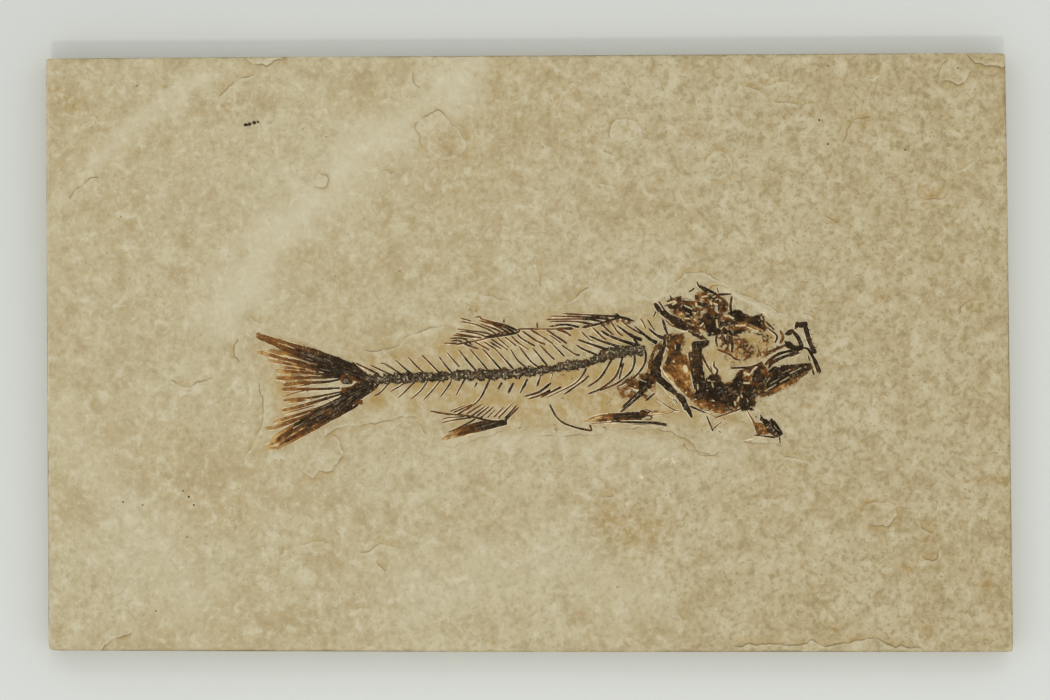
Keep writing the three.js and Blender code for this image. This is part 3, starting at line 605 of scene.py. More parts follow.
# Each ledge: the step in millimetres, how far the low side reaches, and its points.
# The low side is on the left where the step is positive.
LEDGES = [
    (0.16, 3.0, (360, 352), (378, 350.5), (392, 347), (403, 340), (412, 333), (430, 329), (448, 325)),
    (0.12, 2.2, (482, 296), (500, 298), (512, 302)),
    (0.16, 3.0, (565, 303), (572, 300), (580, 293), (590, 287)),
    (0.12, 2.2, (630, 288), (640, 293), (652, 300)),
    (0.14, 3.0, (672, 282), (684, 274.5), (705, 273.5), (722, 280)),
    (0.12, 2.5, (738, 291), (745, 296), (760, 302), (775, 310), (788, 316)),
    (-0.14, 2.0, (256, 380), (262, 400), (263, 418), (254, 440), (243, 460)),
    (0.10, 2.0, (250, 318), (262, 326)),
    (0.16, 2.4, (240, 362), (233, 352), (238, 338)),
    (0.18, 3.0, (419, 417.5), (392, 419), (370, 425), (345, 428), (333, 431), (320, 440)),
    (0.22, 3.0, (345, 455), (338, 465), (330, 471), (318, 472), (312, 478), (299, 469)),
    (0.12, 2.0, (333, 434), (340, 442), (345, 455)),
    (0.14, 3.4, (720, 452), (715, 455), (700, 452), (690, 449), (683, 440)),
    (0.12, 2.4, (768, 443.5), (742, 442)),
    (0.14, 4.0, (725, 455), (700, 453.8), (685, 439), (667, 431.5), (651, 427), (618, 429), (595, 433.7),
     (564, 436), (533, 436)),
    (0.10, 3.4, (506, 431.5), (493, 433.7), (475, 439), (455, 446), (439, 443.8)),
    (0.16, 4.0, (218, 97), (225, 90), (235, 82), (245, 76), (255, 73)),
    (0.22, 5.0, (68, 199), (75, 191), (85, 181), (92, 179), (100, 175)),
    (0.12, 2.4, (414, 70), (415, 84), (420, 90)),
    (0.12, 2.4, (466, 69), (476, 78)),
    (0.18, 3.4, (418, 118), (430, 112), (440, 111), (450, 122), (461, 134), (467, 145), (461, 158)),
    (-0.10, 2.4, (418, 118), (417, 135), (436, 158), (461, 159)),
    (0.14, 2.0, (313, 179), (317, 173.5), (324, 173), (329, 179), (326, 187), (317, 187), (313, 182)),
    (0.10, 2.0, (383, 172), (394, 173)),
    (0.12, 2.4, (608, 140), (611, 127), (620, 119), (633, 121), (640, 128), (640, 136)),
    (0.10, 2.4, (608, 140), (605, 150), (618, 155)),
    (0.08, 2.4, (703, 166), (709, 154), (720, 150), (731, 158), (731, 172), (720, 180), (708, 176)),
    (0.10, 2.4, (600, 183), (618, 187)),
    (0.12, 2.8, (740, 85), (755, 89), (765, 95)),
    (0.12, 2.4, (762, 87), (775, 85), (790, 80)),
    (0.10, 2.4, (772, 100), (780, 103), (792, 104), (797, 108)),
    (0.22, 2.4, (937, 78), (941, 68), (947, 58)),
    (0.22, 3.0, (972, 68), (966, 80), (956, 83.5), (942, 80)),
    (0.32, 3.0, (1008, 67), (985, 66), (972, 60), (967, 53)),
    (0.12, 2.4, (920, 182), (918, 192), (925, 198), (940, 200), (950, 192)),
    (0.12, 1.6, (825, 217), (832, 221), (838, 224)),
    (0.12, 2.4, (1000, 165), (1007, 160)),
    (0.10, 2.4, (955, 170), (966, 166), (975, 160)),
    (0.16, 3.0, (170, 380), (185, 388), (197, 382), (215, 377)),
    (0.10, 2.0, (190, 390), (183, 398)),
    (0.12, 2.6, (360, 555), (370, 550), (380, 545), (400, 548)),
    (0.10, 2.4, (375, 560), (385, 570)),
    (0.10, 2.4, (300, 545), (325, 540)),
    (0.10, 2.4, (600, 497), (612, 495)),
    (0.14, 3.0, (862, 516), (864, 507), (876, 502), (893, 505), (897, 518), (884, 526), (866, 522)),
    (0.16, 2.6, (919, 518), (920, 527), (930, 532), (935, 533)),
    (0.14, 2.4, (920, 555), (925, 560), (935, 559), (938, 550)),
    (0.12, 2.4, (959, 316), (966, 304), (986, 299)),
    (0.12, 2.4, (535, 263), (538, 275), (540, 288)),
    (0.14, 2.4, (843, 146), (852, 124), (872, 116)),
    (0.10, 2.4, (802, 313), (816, 319)),
    (0.24, 4.0, (134, 632), (120, 637), (107, 643), (100, 652)),
    (0.30, 3.4, (733, 653), (735, 646), (760, 645), (800, 644.5), (813.8, 640), (825, 647), (856, 640),
     (878.6, 638), (887.5, 644.6), (923, 650), (926, 654)),
    (0.30, 3.0, (289, 56), (275, 63), (263, 66), (250, 62), (244, 56)),
    (0.10, 2.0, (282, 555), (287, 548)),
    (0.08, 2.0, (419, 424), (426, 435)),
    (0.10, 2.0, (776, 452.7), (792, 457), (809, 461.6)),
    (0.08, 2.0, (676, 614.5), (682.6, 621)),
]
# Soft marks in the stone: kind, strength, half width in marks, points along it.
STREAKS = [
    ("pale", 0.55, 9, (60, 201), (89, 170), (134, 125), (170, 96), (201, 74)),
    ("pale", 0.75, 26, (223, 312), (268, 246), (312, 201), (350, 156), (383, 134), (439, 112), (466, 69)),
    ("pale", 0.35, 30, (60, 420), (120, 500), (190, 600)),
    ("pale", 0.35, 34, (420, 600), (560, 560), (640, 600)),
    ("pale", 0.45, 12, (450, 444), (520, 440), (600, 438), (680, 452), (740, 456)),
    ("pale", 0.35, 9, (660, 283), (630, 296), (600, 302)),
    ("warm", 0.80, 26, (380, 384), (450, 382), (560, 376), (640, 372), (700, 372)),
    ("warm", 0.80, 20, (440, 350), (500, 343), (580, 335), (640, 330)),
    ("warm", 0.70, 22, (470, 405), (560, 408), (650, 400), (720, 400)),
    ("warm", 0.75, 16, (295, 352), (285, 380), (296, 415)),
    ("warm", 0.75, 14, (690, 345), (740, 345), (775, 340)),
    ("stain", 0.30, 12, (560, 392), (600, 394), (640, 388)),
    ("stain", 0.34, 8, (616, 386), (640, 396), (668, 402)),
    ("stain", 0.26, 7, (448, 345), (470, 350), (500, 356)),
    ("stain", 0.30, 5, (452, 396), (470, 400)),
    ("stain", 0.28, 5, (580, 330), (610, 328), (640, 330)),
    ("stain", 0.30, 5, (690, 425), (712, 425), (730, 420)),
    ("stain", 0.55, 9, (742, 342), (756, 350), (746, 356)),
    ("stain", 0.40, 5, (762, 350), (770, 344)),
    ("stain", 0.30, 6, (664, 353), (676, 356), (700, 358)),
    ("stain", 0.42, 22, (612, 520), (625, 530), (645, 532)),
    ("stain", 0.55, 4, (372, 400), (380, 403)),
    ("stain", 0.30, 5, (407, 404), (424, 406)),
    ("stain", 0.55, 3, (427, 341), (427, 344)),
    ("stain", 0.35, 4, (965, 480), (1010, 480)),
    ("stain", 0.40, 3, (826, 220), (837, 223)),
    ("stain", 0.30, 9, (850, 136), (866, 122)),
    ("stain", 0.28, 9, (925, 193), (945, 190)),
    ("stain", 0.28, 8, (962, 311), (984, 303)),
    ("stain", 0.20, 14, (870, 512), (890, 514)),
    ("stain", 0.30, 8, (928, 532), (930, 552)),
    ("stain", 0.24, 18, (425, 125), (445, 140), (452, 150)),
    ("stain", 0.55, 3.5, (556, 430), (557, 430)),
    ("stain", 0.55, 4, (470, 309), (476, 310)),
    ("stain", 0.45, 3, (616, 388), (621, 393)),
    ("stain", 0.45, 3.5, (618, 395), (628, 397)),
    ("stain", 0.50, 3, (562, 398.5), (566, 398.5)),
    ("stain", 0.35, 3, (262, 452), (263, 453)),
    ("stain", 0.28, 5, (258, 346), (264, 347)),
    ("stain", 0.40, 2.5, (410, 353), (385, 356), (362, 361)),
    ("pale", 0.9, 2.2, (726, 291), (745, 300), (762, 309), (778, 318)),
    # A lighter line along the slab's left edge.
    ("pale", 0.6, 1.6, (47, 62), (47, 240), (48, 400), (49, 645)),
    ("pale", 0.7, 5, (176, 104), (190, 88), (206, 76)),
    ("pale", 0.6, 4, (62, 200), (78, 182), (92, 172)),
    ("stain", 0.42, 9, (52, 92), (66, 98), (74, 108)),
    ("stain", 0.35, 6, (224, 106), (236, 112)),
    # Dark lines along the slab's right and bottom edges.
    ("dark", 0.16, 1.4, (1006, 60), (1009, 360), (1012, 640)),
    ("dark", 0.18, 1.2, (54, 650), (240, 650), (480, 651.5), (1005, 651.5)),
]
for mark in ((165, 87, 2), (223, 106, 3), (148, 276, 3), (108, 215, 2), (65, 100, 5), (448, 515, 4),
             (498, 518.5, 2), (581, 613.4, 4), (493, 642.4, 2), (910, 569, 4), (925, 627, 5), (834, 629, 6),
             (986, 584, 6), (878.6, 299, 4), (894, 276, 2), (809, 407, 2), (728, 359, 3), (733, 364, 3)):
    STREAKS.append(("stain", 0.62, 1.05 * mark[2], (mark[0], mark[1]), (mark[0] + 1, mark[1])))


def frayed(chain, seed):
    """A chain with the small turns of a broken edge."""
    line = walk(chain, 0.9)
    x, y = line[:, 0], line[:, 1]
    shift = [drift(x, y, 2.4, seed + k) + 0.5 * drift(x, y, 0.9, seed + k + 1) for k in (0, 2)]
    return line + 0.55 * np.stack(shift, axis=1)


LEDGE_CHAINS = [(step, reach, frayed(smooth_chain(places(line), 3), 100 + 4 * k))
                for k, (step, reach, *line) in enumerate(LEDGES)]
BASIN_RING = smooth_chain(places(BASIN + BASIN[:1]), 3)[:-1]


def stone_height(x, y):
    """Height of the stone's upper face in millimetres above its back."""
    height = np.full(x.shape, FACE_HEIGHT - 0.05)
    inside = ring_distance(x, y, BASIN_RING) + 0.9 * drift(x, y, 7.0, 41)
    height = height - 0.42 * ease(inside, -1.5, 3.5)
    height = height + 0.055 * drift(x, y, 28.0, 42) + 0.035 * drift(x, y, 7.0, 43)
    height = height + 0.022 * drift(x, y, 2.2, 44) + 0.010 * drift(x, y, 0.9, 45)
    terrace = drift(x, y, 17.0, 46) + 0.25 * drift(x, y, 5.0, 47)
    height = height + 0.05 * ease(terrace, 0.16, 0.20) - 0.05 * ease(-terrace, 0.30, 0.33)
    for step, reach, chain in LEDGE_CHAINS:
        gap, side, share = chain_distance(x, y, chain, spread=reach + 1.0)
        near = gap < reach + 1.0
        ends = ease(share, 0.0, 0.08) * ease(1.0 - share, 0.0, 0.08)
        side = side * math.copysign(1.0, step)
        low = ease(side * gap, -0.035, 0.035) * (1.0 - ease(gap, 0.25 * reach, reach))
        high = ease(-side * gap, -0.035, 0.035) * (1.0 - ease(gap, 0.0, 0.8)) * 0.25
        height = height + np.where(near, (high - low) * ends * abs(step), 0.0)
    return height


def edge_wear(x, y, ring):
    """How far the worn rim falls below the face, from the distance to the slab's edge."""
    gap, _, _ = chain_distance(x, y, ring, spread=3.0)
    rough = 0.5 + 0.35 * drift(x, y, 4.0, 48) + 0.25 * drift(x, y, 1.3, 49)
    return np.where(gap < 2.5, 0.75 * rough * (1.0 - ease(gap, 0.0, 0.35 + 1.1 * np.abs(rough))), 0.0)


def slab_rim():
    """The slab's outline in millimetres with the small nicks and waves of a hand-broken edge."""
    ring = walk(places(SLAB_OUTLINE + SLAB_OUTLINE[:1]), 0.8)[:-1]
    centre = ring.mean(axis=0)
    outward = ring - centre
    outward = np.where(np.abs(outward) / HALF_SIZE > 0.985, np.sign(outward), 0.0)
    nick = np.abs(drift(ring[:, 0], ring[:, 1], 6.0, 51)) * 0.14
    nick = nick + np.abs(drift(ring[:, 0], ring[:, 1], 1.4, 52)) * 0.10
    return ring - outward * nick[:, None]


def stone_marks(x, y):
    """Paint of the stone: red pale, green stain, blue warm, alpha dark."""
    paint = {"pale": np.zeros(x.shape), "stain": np.zeros(x.shape), "warm": np.zeros(x.shape),
             "dark": np.zeros(x.shape)}
    wobble = 1.0 + 0.45 * drift(x, y, 6.0, 55) + 0.3 * drift(x, y, 2.0, 56)
    for kind, strength, half, *points in STREAKS:
        reach = half * PIXEL
        gap, _, _ = chain_distance(x, y, places(points), spread=2.5 * reach + 1.0)
        amount = strength * np.exp(-((gap / (reach * np.maximum(wobble, 0.3))) ** 2))
        paint[kind] = np.maximum(paint[kind], amount)
    for step, reach, chain in LEDGE_CHAINS:
        gap, side, share = chain_distance(x, y, chain, spread=5.0)
        ends = ease(share, 0.0, 0.1) * ease(1.0 - share, 0.0, 0.1)
        side = side * math.copysign(1.0, step)
        patchy = ease(drift(x, y, 4.0, 57) + 0.5 * drift(x, y, 1.2, 58), -0.55, 0.45)
        # A dark brown line along each ledge step, broken up by noise.
        line = (1.0 - ease(gap, 0.05, 0.30)) * ends * patchy * min(1.0, abs(step) / 0.16) * 0.70
        paint["dark"] = np.maximum(paint["dark"], line)
        # Painted highlight: a pale fringe on the high side of each ledge, as the lit edge of the step.
        lit = (1.0 - ease(gap, 0.15, 1.1)) * (gap >= 0.13) * (side < 0) * ends * 0.5
        paint["pale"] = np.maximum(paint["pale"], lit)
        hollow = 0.36 * ends * (side > 0) * (1.0 - ease(gap, 0.3, 0.9 * reach + 0.6 * drift(x, y, 3.0, 59)))
        paint["warm"] = np.maximum(paint["warm"], np.where(gap < 5.0, hollow, 0.0))
    return np.stack([paint["pale"], paint["stain"], paint["warm"], paint["dark"]], axis=1)


def face_cloud(sizes):
    """Places for the face's mesh points: close together round the fish and in small stains."""
    chance = np.random.default_rng(61)
    fine, coarse = sizes.fish_spacing, sizes.field_spacing
    low_x, high_x, low_y, high_y = FISH_AREA
    fx, fy = np.meshgrid(np.arange(low_x, high_x, fine), np.arange(low_y, high_y, fine))
    gx, gy = np.meshgrid(np.arange(-149.0, 149.4, coarse), np.arange(-92.2, 92.4, coarse))
    keep = (gx < low_x) | (gx > high_x) | (gy < low_y) | (gy > high_y)
    cloud = []
    for px, py, size in ((fx.ravel(), fy.ravel(), fine), (gx[keep], gy[keep], coarse)):
        px = px + chance.uniform(-0.34, 0.34, px.shape) * size
        py = py + chance.uniform(-0.34, 0.34, py.shape) * size
        cloud.append(np.stack([px, py], axis=1))
    for _, _, half, *marks in STREAKS:
        if half < 7 and len(marks) == 2 and abs(marks[0][0] - marks[1][0]) < 12:
            middle = places(marks).mean(axis=0)
            count = int(12 * half)
            cloud.append(middle + chance.normal(0.0, 0.9 * half * PIXEL, (count, 2)))
    return np.vstack(cloud)


def ledge_rows(rim, field):
    """Rows of points on both sides of every ledge, and the field's distances from the nearest ledge."""
    clear = np.full(len(field), 9.0)
    rows = []
    for _, _, chain in LEDGE_CHAINS:
        gap, _, _ = chain_distance(field[:, 0], field[:, 1], chain, spread=1.5)
        clear = np.minimum(clear, gap)
        line = walk(chain, 0.35)
        run = np.gradient(line, axis=0)
        across = np.stack([-run[:, 1], run[:, 0]], axis=1) / np.maximum(np.hypot(*run.T), 1e-6)[:, None]
        for shift in (0.05, 0.22, 0.55):
            rows.append(line + shift * across)
            rows.append(line - shift * across)
    lines = np.vstack(rows)
    return lines[ring_distance(lines[:, 0], lines[:, 1], rim) > 0.15], clear


def add_face(heap, rim, sizes):
    """Adds the upper face; gives the numbers and the places of its points along the rim."""
    field = face_cloud(sizes)
    lines, clear = ledge_rows(rim, field)
    inside = ring_distance(field[:, 0], field[:, 1], rim) > 0.45
    field = field[inside & (clear > 0.60)]
    inner = [rim * (1.0 - depth / HALF_SIZE) for depth in (0.22, 0.6, 1.1)]
    flat = np.vstack([rim] + inner + [lines, field])
    count = len(rim)
    loop = [(k, (k + 1) % count) for k in range(count)]
    made = delaunay_2d_cdt([Vector(p) for p in flat], loop, [], 1, 1e-5, True)
    points = np.array([tuple(p) for p in made[0]])
    faces = [tuple(f) for f in made[2]]
    ring_index = [None] * count
    for index, sources in enumerate(made[3]):
        for source in sources:
            if source < count:
                ring_index[source] = index
    x, y = points[:, 0], points[:, 1]
    height = stone_height(x, y) - edge_wear(x, y, np.vstack([rim, rim[:1]]))
    top = np.column_stack([points, height])
    areas = [(points[b] - points[a])[0] * (points[c] - points[a])[1]
             - (points[b] - points[a])[1] * (points[c] - points[a])[0] for a, b, c in faces[:50]]
    if sum(areas) < 0:
        faces = [face[::-1] for face in faces]
    heap.add(top, faces, stone_marks(x, y))
    return ring_index, top[ring_index]


def add_sides(heap, rim, ring_index, ring_top):
    """Adds the layered sides; gives the lowest ring and the number of its first point."""
    count = len(rim)
    around = np.arange(count) * 0.8
    outward = rim / np.hypot(*rim.T)[:, None]
    rings = []
    for level in range(1, SIDE_LEVELS + 1):
        share = level / SIDE_LEVELS
        z = ring_top[:, 2] * (1.0 - share)
        layer = drift(around, z * 26.0, 14.0, 53) * 0.30 + drift(around, z * 5.0, 2.4, 54) * 0.16
        push = (layer - 0.28) * math.sin(math.pi * share) * 0.9 - 0.25 * share
        ring = rim + outward * push[:, None]
        rings.append(np.column_stack([ring, z]))
    first = heap.count
    spread = np.vstack(rings)
    heap.add(spread, [], np.tile([0.0, 0.0, 0.0, 0.12], (len(spread), 1)))
    for level in range(SIDE_LEVELS):
        for k in range(count):
            after = (k + 1) % count
            if level == 0:
                a, b = ring_index[k], ring_index[after]
            else:
                a, b = first + (level - 1) * count + k, first + (level - 1) * count + after
            c, d = first + level * count + after, first + level * count + k
            heap.faces.append((a, d, c, b))
    return spread[-count:], first + (SIDE_LEVELS - 1) * count


def add_back(heap, base, start):
    """Adds the flat sawn back inside the lowest ring, whose points begin at the number start."""
    count = len(base)
    loop = [(k, (k + 1) % count) for k in range(count)]
    bx, by = np.meshgrid(np.arange(-145.0, 146.0, BACK_SPACING), np.arange(-88.0, 89.0, BACK_SPACING))
    under = np.stack([bx.ravel(), by.ravel()], axis=1)
    under = under[ring_distance(under[:, 0], under[:, 1], base[:, :2]) > 1.5]
    laid = delaunay_2d_cdt([Vector(p) for p in np.vstack([base[:, :2], under])], loop, [], 1, 1e-5, True)
    extra = heap.count
    place = {}
    added = []
    for index, sources in enumerate(laid[3]):
        edge = [s for s in sources if s < count]
        if edge:
            place[index] = start + edge[0]
        else:
            place[index] = extra + len(added)
            added.append((laid[0][index].x, laid[0][index].y, 0.0))
    heap.add(np.array(added), [], np.tile([0.0, 0.0, 0.0, 0.05], (len(added), 1)))
    a, b, c = (laid[0][k] for k in laid[2][0][:3])
    upward = (b - a).cross(c - a) > 0
    for face in laid[2]:
        turned = tuple(place[k] for k in face)
        heap.faces.append(turned[::-1] if upward else turned)


def build_slab(look, sizes):
    """The limestone tablet as one closed mesh: face, worn rim, layered sides and sawn back."""
    rim = slab_rim()
    heap = Heap()
    ring_index, ring_top = add_face(heap, rim, sizes)
    base, start = add_sides(heap, rim, ring_index, ring_top)
    add_back(heap, base, start)
    mesh = heap.mesh("limestone_slab", "marks")
    return new_piece("limestone_slab", mesh, limestone_finish(look), ["slab"])


# A bone bar: width at its first and last point, amber share there, then its points.
# Widths and points are in marks.
BARS = {
    "tail_fin_upper_lobe": [
        (3, 7, 0.85, 0, (256, 334), (285, 343), (326, 356), (352, 367)),
        (4, 4.5, 0.85, 0, (256, 336), (291, 350.5), (318, 359), (340, 367)),
        (4, 3, 1, 0.05, (268, 350), (300, 357), (340, 370)), (2, 1, 1, 0.5, (269, 351.5), (290, 357)),
        (4, 2, 0.95, 0, (257, 351.5), (285, 359), (314, 367), (340, 374)),
        (2, 1, 1, 0.5, (270, 356.5), (296, 363)), (3.5, 2, 1.05, 0, (267, 360), (302, 366.5), (340, 375)),
        (3.5, 1.5, 1, 0.1, (282, 367), (320, 371.5)), (4, 3, 1, 0, (275, 370.5), (310, 373), (340, 376)),
        (2, 1, 1, 0.4, (277, 372.5), (308, 375)), (4, 2.5, 0.95, 0, (276, 378), (310, 377.5), (341, 377)),
        (2, 1, 1, 0.4, (280, 380), (308, 379)),
        (4, 2, 0.9, 0, (283, 385), (300, 383), (325, 382), (341, 379)),
        (2, 1, 1, 0.4, (293, 387), (311, 384)), (4, 2, 0.95, 0, (281, 389), (319, 389), (340, 388)),
        (2, 1, 1, 0.4, (283, 396.5), (300, 391.5), (310, 391)), (5, 5, 0.05, 0, (336, 361), (362, 375)),
        (3, 4, 0.05, 0, (352, 362), (366, 378)), (3, 2, 0.55, 0.5, (355, 365), (364.5, 373)),
    ],
    "tail_fin_lower_lobe": [
        (3.5, 2, 0.95, 0, (283, 400.5), (312, 397.5), (343, 391.5)), (2, 1, 1, 0.4, (286, 403), (312, 399.5)),
        (4, 2.5, 0.95, 0, (282, 410.5), (300, 406.5), (344, 393)), (2, 1, 1, 0.3, (283, 414), (314, 405.5)),
        (3.5, 2, 1, 0, (273, 422), (300, 414), (322, 406.5), (344, 397)),
        (2, 1, 1, 0.3, (276, 424.5), (300, 417), (310, 413)),
        (4, 2.5, 1.05, 0, (265, 428), (276, 427), (300, 418.5), (322, 409.5), (346, 398.5)),
        (3.5, 3, 1.05, 0, (271, 440.5), (283, 431.5), (299, 423), (322, 412.5), (348, 400)),
        (4, 3.5, 1.05, 0, (265, 447), (274, 443.5), (291, 432.5), (312, 422), (350, 402)),
        (3, 3.5, 1.05, 0, (266, 448.5), (275, 447), (291, 437), (312, 426), (352, 405)),
        (4, 2.5, 1.05, 0, (276, 449), (299, 437), (322, 424.5), (350, 409.5), (358, 404.5)),
        (5, 5.5, 0, 0, (340, 399), (358, 387), (366, 380)), (4, 4, 0.05, 0, (348, 403), (374, 384)),
        (2, 2, 0.3, 0.05, (353, 404), (377, 387.5)),
    ],
    "second_dorsal_fin": [
        (1.5, 3, 0.35, 0.05, (474.5, 317.5), (480, 316.5), (482, 319), (498, 323.5), (507, 326),
        (517, 330.5)),
        (2, 2.5, 0.25, 0.05, (479.5, 320.5), (498, 325.5), (506, 328), (514, 332.5)),
        (1.5, 2.5, 0.2, 0.05, (490, 323.5), (503, 329.5), (509, 333)),
        (1.5, 2.5, 0.35, 0.1, (479.5, 323.5), (496, 329.5), (504, 334)),
        (1.5, 2, 0.65, 0.15, (461, 321.5), (476, 324.5), (490.5, 330.5), (497, 335)),
        (1.5, 1.5, 0.6, 0.5, (460.5, 318), (471, 321)),
        (1.5, 2, 0.6, 0.15, (457, 329), (486, 333), (491.5, 336.5)),
        (1.5, 2, 0.6, 0.2, (459, 331), (477, 333.5), (487.5, 337.5)),
        (1.5, 2, 0.55, 0.2, (456, 333.5), (481.5, 338)),
        (1.5, 2, 0.6, 0.25, (453, 335), (477.5, 337.5)),
        (1.5, 2, 0.55, 0.25, (450, 338.5), (459, 338), (467.5, 339.5)),
        (1.5, 2, 0.5, 0.25, (451, 341), (458, 340.5), (462, 342)),
        (1.5, 2, 0.5, 0.35, (444, 343), (457, 343.5)),
        (3, 2.5, 0.15, 0.05, (484, 337.5), (504, 335), (517, 332.5), (520, 329.5)),
        (2, 1.5, 0.2, 0.35, (516, 331.5), (520, 329), (540, 329), (556, 329)),
        (2, 2, 0.35, 0.3, (456, 344.5), (472, 341.5), (488, 338)), (2, 2, 0.3, 0.3, (462, 343), (478.5, 349)),
        (2, 2, 0.15, 0.3, (465.5, 340), (472.5, 345)), (2, 2, 0.3, 0.3, (472.5, 340.5), (489.5, 350)),
        (2, 1.5, 0.3, 0.3, (483.5, 341.5), (496, 349.5)), (2, 1.5, 0.3, 0.3, (490, 342), (501.5, 349)),
        (2, 1.5, 0.25, 0.3, (490.5, 338.5), (508, 350)), (2, 1.5, 0.25, 0.25, (496, 336.5), (509, 347.5)),
        (2, 1.5, 0.15, 0.3, (504.5, 336.5), (516.5, 346)),
        (2, 1.5, 0.25, 0.3, (511, 335.5), (517, 341.5), (528.5, 349.5)),
        (2, 2, 0.15, 0.3, (516.5, 333.5), (522.5, 339), (535, 346)),
        (2.5, 2, 0.35, 0.3, (522.5, 331), (536, 340.5), (545.5, 344.5)),
        (2.5, 1.5, 0.35, 0.3, (531, 330), (543, 337), (553.5, 344)),
        (2.5, 2, 0.4, 0.35, (546, 329.5), (567, 343.5)),
        (3, 2, 0.4, 0.4, (555.5, 328.5), (566, 332.5), (571, 336)),
        (2.5, 3, 0.4, 0.4, (557, 328.5), (573, 328.5)),
        (2, 2, 0.05, 0.05, (504, 318.5), (504, 322.5)), (2, 2, 0.05, 0.05, (537, 322.5), (537.5, 328)),
    ],
    "first_dorsal_fin": [
        (1.5, 3, 0.25, 0, (562.5, 313.5), (597, 315.5), (620, 317), (633, 321)),
        (1.5, 3, 0.2, 0, (551, 316), (585, 317), (609, 319)),
        (1.5, 2.5, 0.2, 0, (546.5, 319.5), (584, 319), (602, 321.5)),
        (1.5, 2.5, 0.2, 0, (549.5, 321.5), (575, 321.5), (593.5, 324.5)),
        (2, 2.5, 0.25, 0.05, (549, 326.5), (565, 324.5), (579, 327)),
        (3, 2.5, 0.1, 0.1, (582, 327.5), (600, 323.5), (611, 320), (621, 317.5)),
        (2.5, 2, 0.1, 0.35, (614, 314.5), (617.5, 314.5), (620, 317.5), (634, 321)),
        (2, 2, 0.3, 0.35, (591.5, 326.5), (602.5, 337), (606.5, 339.5)),
        (2, 2, 0.25, 0.3, (600, 323), (613.5, 335)),
        (2, 2, 0.35, 0.35, (610, 320), (617, 331), (623, 336)),
    ],
    "dorsal_support_1": [(1.5, 1.5, 0.25, 0.3, (581.5, 331.5), (589.5, 339.5), (593.5, 340.5))],
    "dorsal_support_2": [(1.5, 1.5, 0.2, 0.3, (550, 335), (561, 343))],
    "small_spine_1": [(2, 1.5, 0.4, 0.35, (640.5, 318.5), (643.5, 323), (645.5, 328))],
    "small_spine_2": [(1.5, 1.5, 0.15, 0.15, (647.5, 319.5), (654.5, 330.5))],
    "backbone_rear": [
        (2, 2.5, 0.25, 0, (355, 363), (365, 367.5), (379, 374.5)),
        (1.5, 2, 0.25, 0, (370.5, 365), (391, 375)),
        (1.5, 2, 0.2, 0, (380, 364), (385, 364), (404, 376)),
        (1.5, 2, 0.15, 0, (395.5, 360), (408, 371), (416, 376)),
        (1.5, 2, 0.15, 0, (408, 357), (417, 366.5), (425.5, 374)),
        (1.5, 2, 0.15, 0, (422, 355), (441.5, 375)),
        (1.5, 2, 0.15, 0, (439, 356.5), (448.5, 369), (455, 375)),
        (1.5, 2.5, 0.15, 0, (458.5, 349.5), (468, 361.5), (476.5, 371)),
        (1.5, 2, 0.15, 0, (470, 349), (488, 370)), (1.5, 2.5, 0.15, 0, (482.5, 348.5), (501.5, 370)),
        (1.5, 2, 0.15, 0, (495, 348.5), (513.5, 369)),
        (1.5, 2, 0.15, 0, (510.5, 349), (517.5, 360), (526.5, 368)),
        (1.5, 2, 0.15, 0, (519, 346), (530.5, 361), (539, 367.5)),
        (1.5, 2.5, 0.15, 0, (532.5, 347.5), (547.5, 366)),
        (2.5, 3, 0.15, 0, (355, 400), (373, 389), (380, 382)),
        (1.5, 2, 0.3, 0.1, (374, 396), (380.5, 392.5), (390, 382)),
        (1.5, 2, 0.15, 0, (390.5, 391.5), (402.5, 384.5), (406, 380)),
        (1.5, 2, 0.15, 0, (397.5, 398), (402.5, 394), (414, 382.5), (417, 379)),
        (1.5, 2, 0.15, 0, (411, 399), (421, 390.5), (429, 379)),
        (1.5, 2, 0.15, 0, (424, 399.5), (434.5, 388), (443, 377)),
        (1.5, 2, 0.15, 0, (440.5, 397), (449.5, 384.5), (452, 378)),
        (1.5, 2, 0.15, 0, (456, 395.5), (466, 377)),
        (1.5, 2.5, 0.15, 0, (465, 411), (478.5, 400.5), (486, 387.5), (491, 376)),
    ],
    "neural_spine_8": [(1.5, 2, 0.15, 0.15, (447, 352.5), (459.5, 367))],
    "haemal_spine_8": [(1.5, 2, 0.15, 0.05, (474.5, 387.5), (477, 382.5))],
    "haemal_spine_10": [(2.5, 2.5, 0.1, 0.05, (498, 389.5), (502, 382.5))],
    "haemal_spine_11": [(2.5, 2.5, 0.1, 0.05, (508, 393.5), (513.5, 383))],
    "haemal_spine_12": [(2, 2.5, 0.15, 0.05, (520, 393.5), (527.5, 379)),
        (2.5, 3, 0.3, 0.1, (522, 389.5), (526, 383))],
    "haemal_spine_13": [(3, 1.5, 0.2, 0.05, (537, 386.5), (541, 375)),
        (1.5, 1, 0.1, 0.05, (551.5, 379), (553, 373))],
    "neural_spine_16": [(1.5, 2, 0.15, 0.05, (539.5, 344.5), (550, 355.5), (554.5, 359.5))],
    "neural_spine_17": [(1.5, 2, 0.15, 0.1, (552, 343.5), (564.5, 356.5))],
    "neural_spine_18": [(1.5, 2, 0.15, 0.05, (561.5, 345), (575, 354), (580, 355))],
    "backbone_front": [
        (2, 2.5, 0.2, 0.05, (576.5, 345), (583, 349), (597, 355)),
        (2, 3, 0.2, 0, (577.5, 339.5), (598, 346.5), (609, 350)),
        (2, 3, 0.2, 0, (588.5, 335.5), (602.5, 341.5), (622, 347.5)),
        (2.5, 3.5, 0.1, 0, (601, 330.5), (608, 335), (623, 341), (640, 346)),
        (2, 4, 0.05, 0, (617, 325.5), (632, 336), (642, 340)),
        (2.5, 2.5, 0.05, 0.05, (632.5, 337.5), (639, 345)),
    ],
    "neural_spine_25": [
        (1.5, 4, 0.1, 0, (634, 325.5), (648.5, 338), (657, 343)),
        (1.5, 2, 0.2, 0.1, (620.5, 320.5), (631, 328), (644, 335)),
    ],
    "neural_spine_26": [
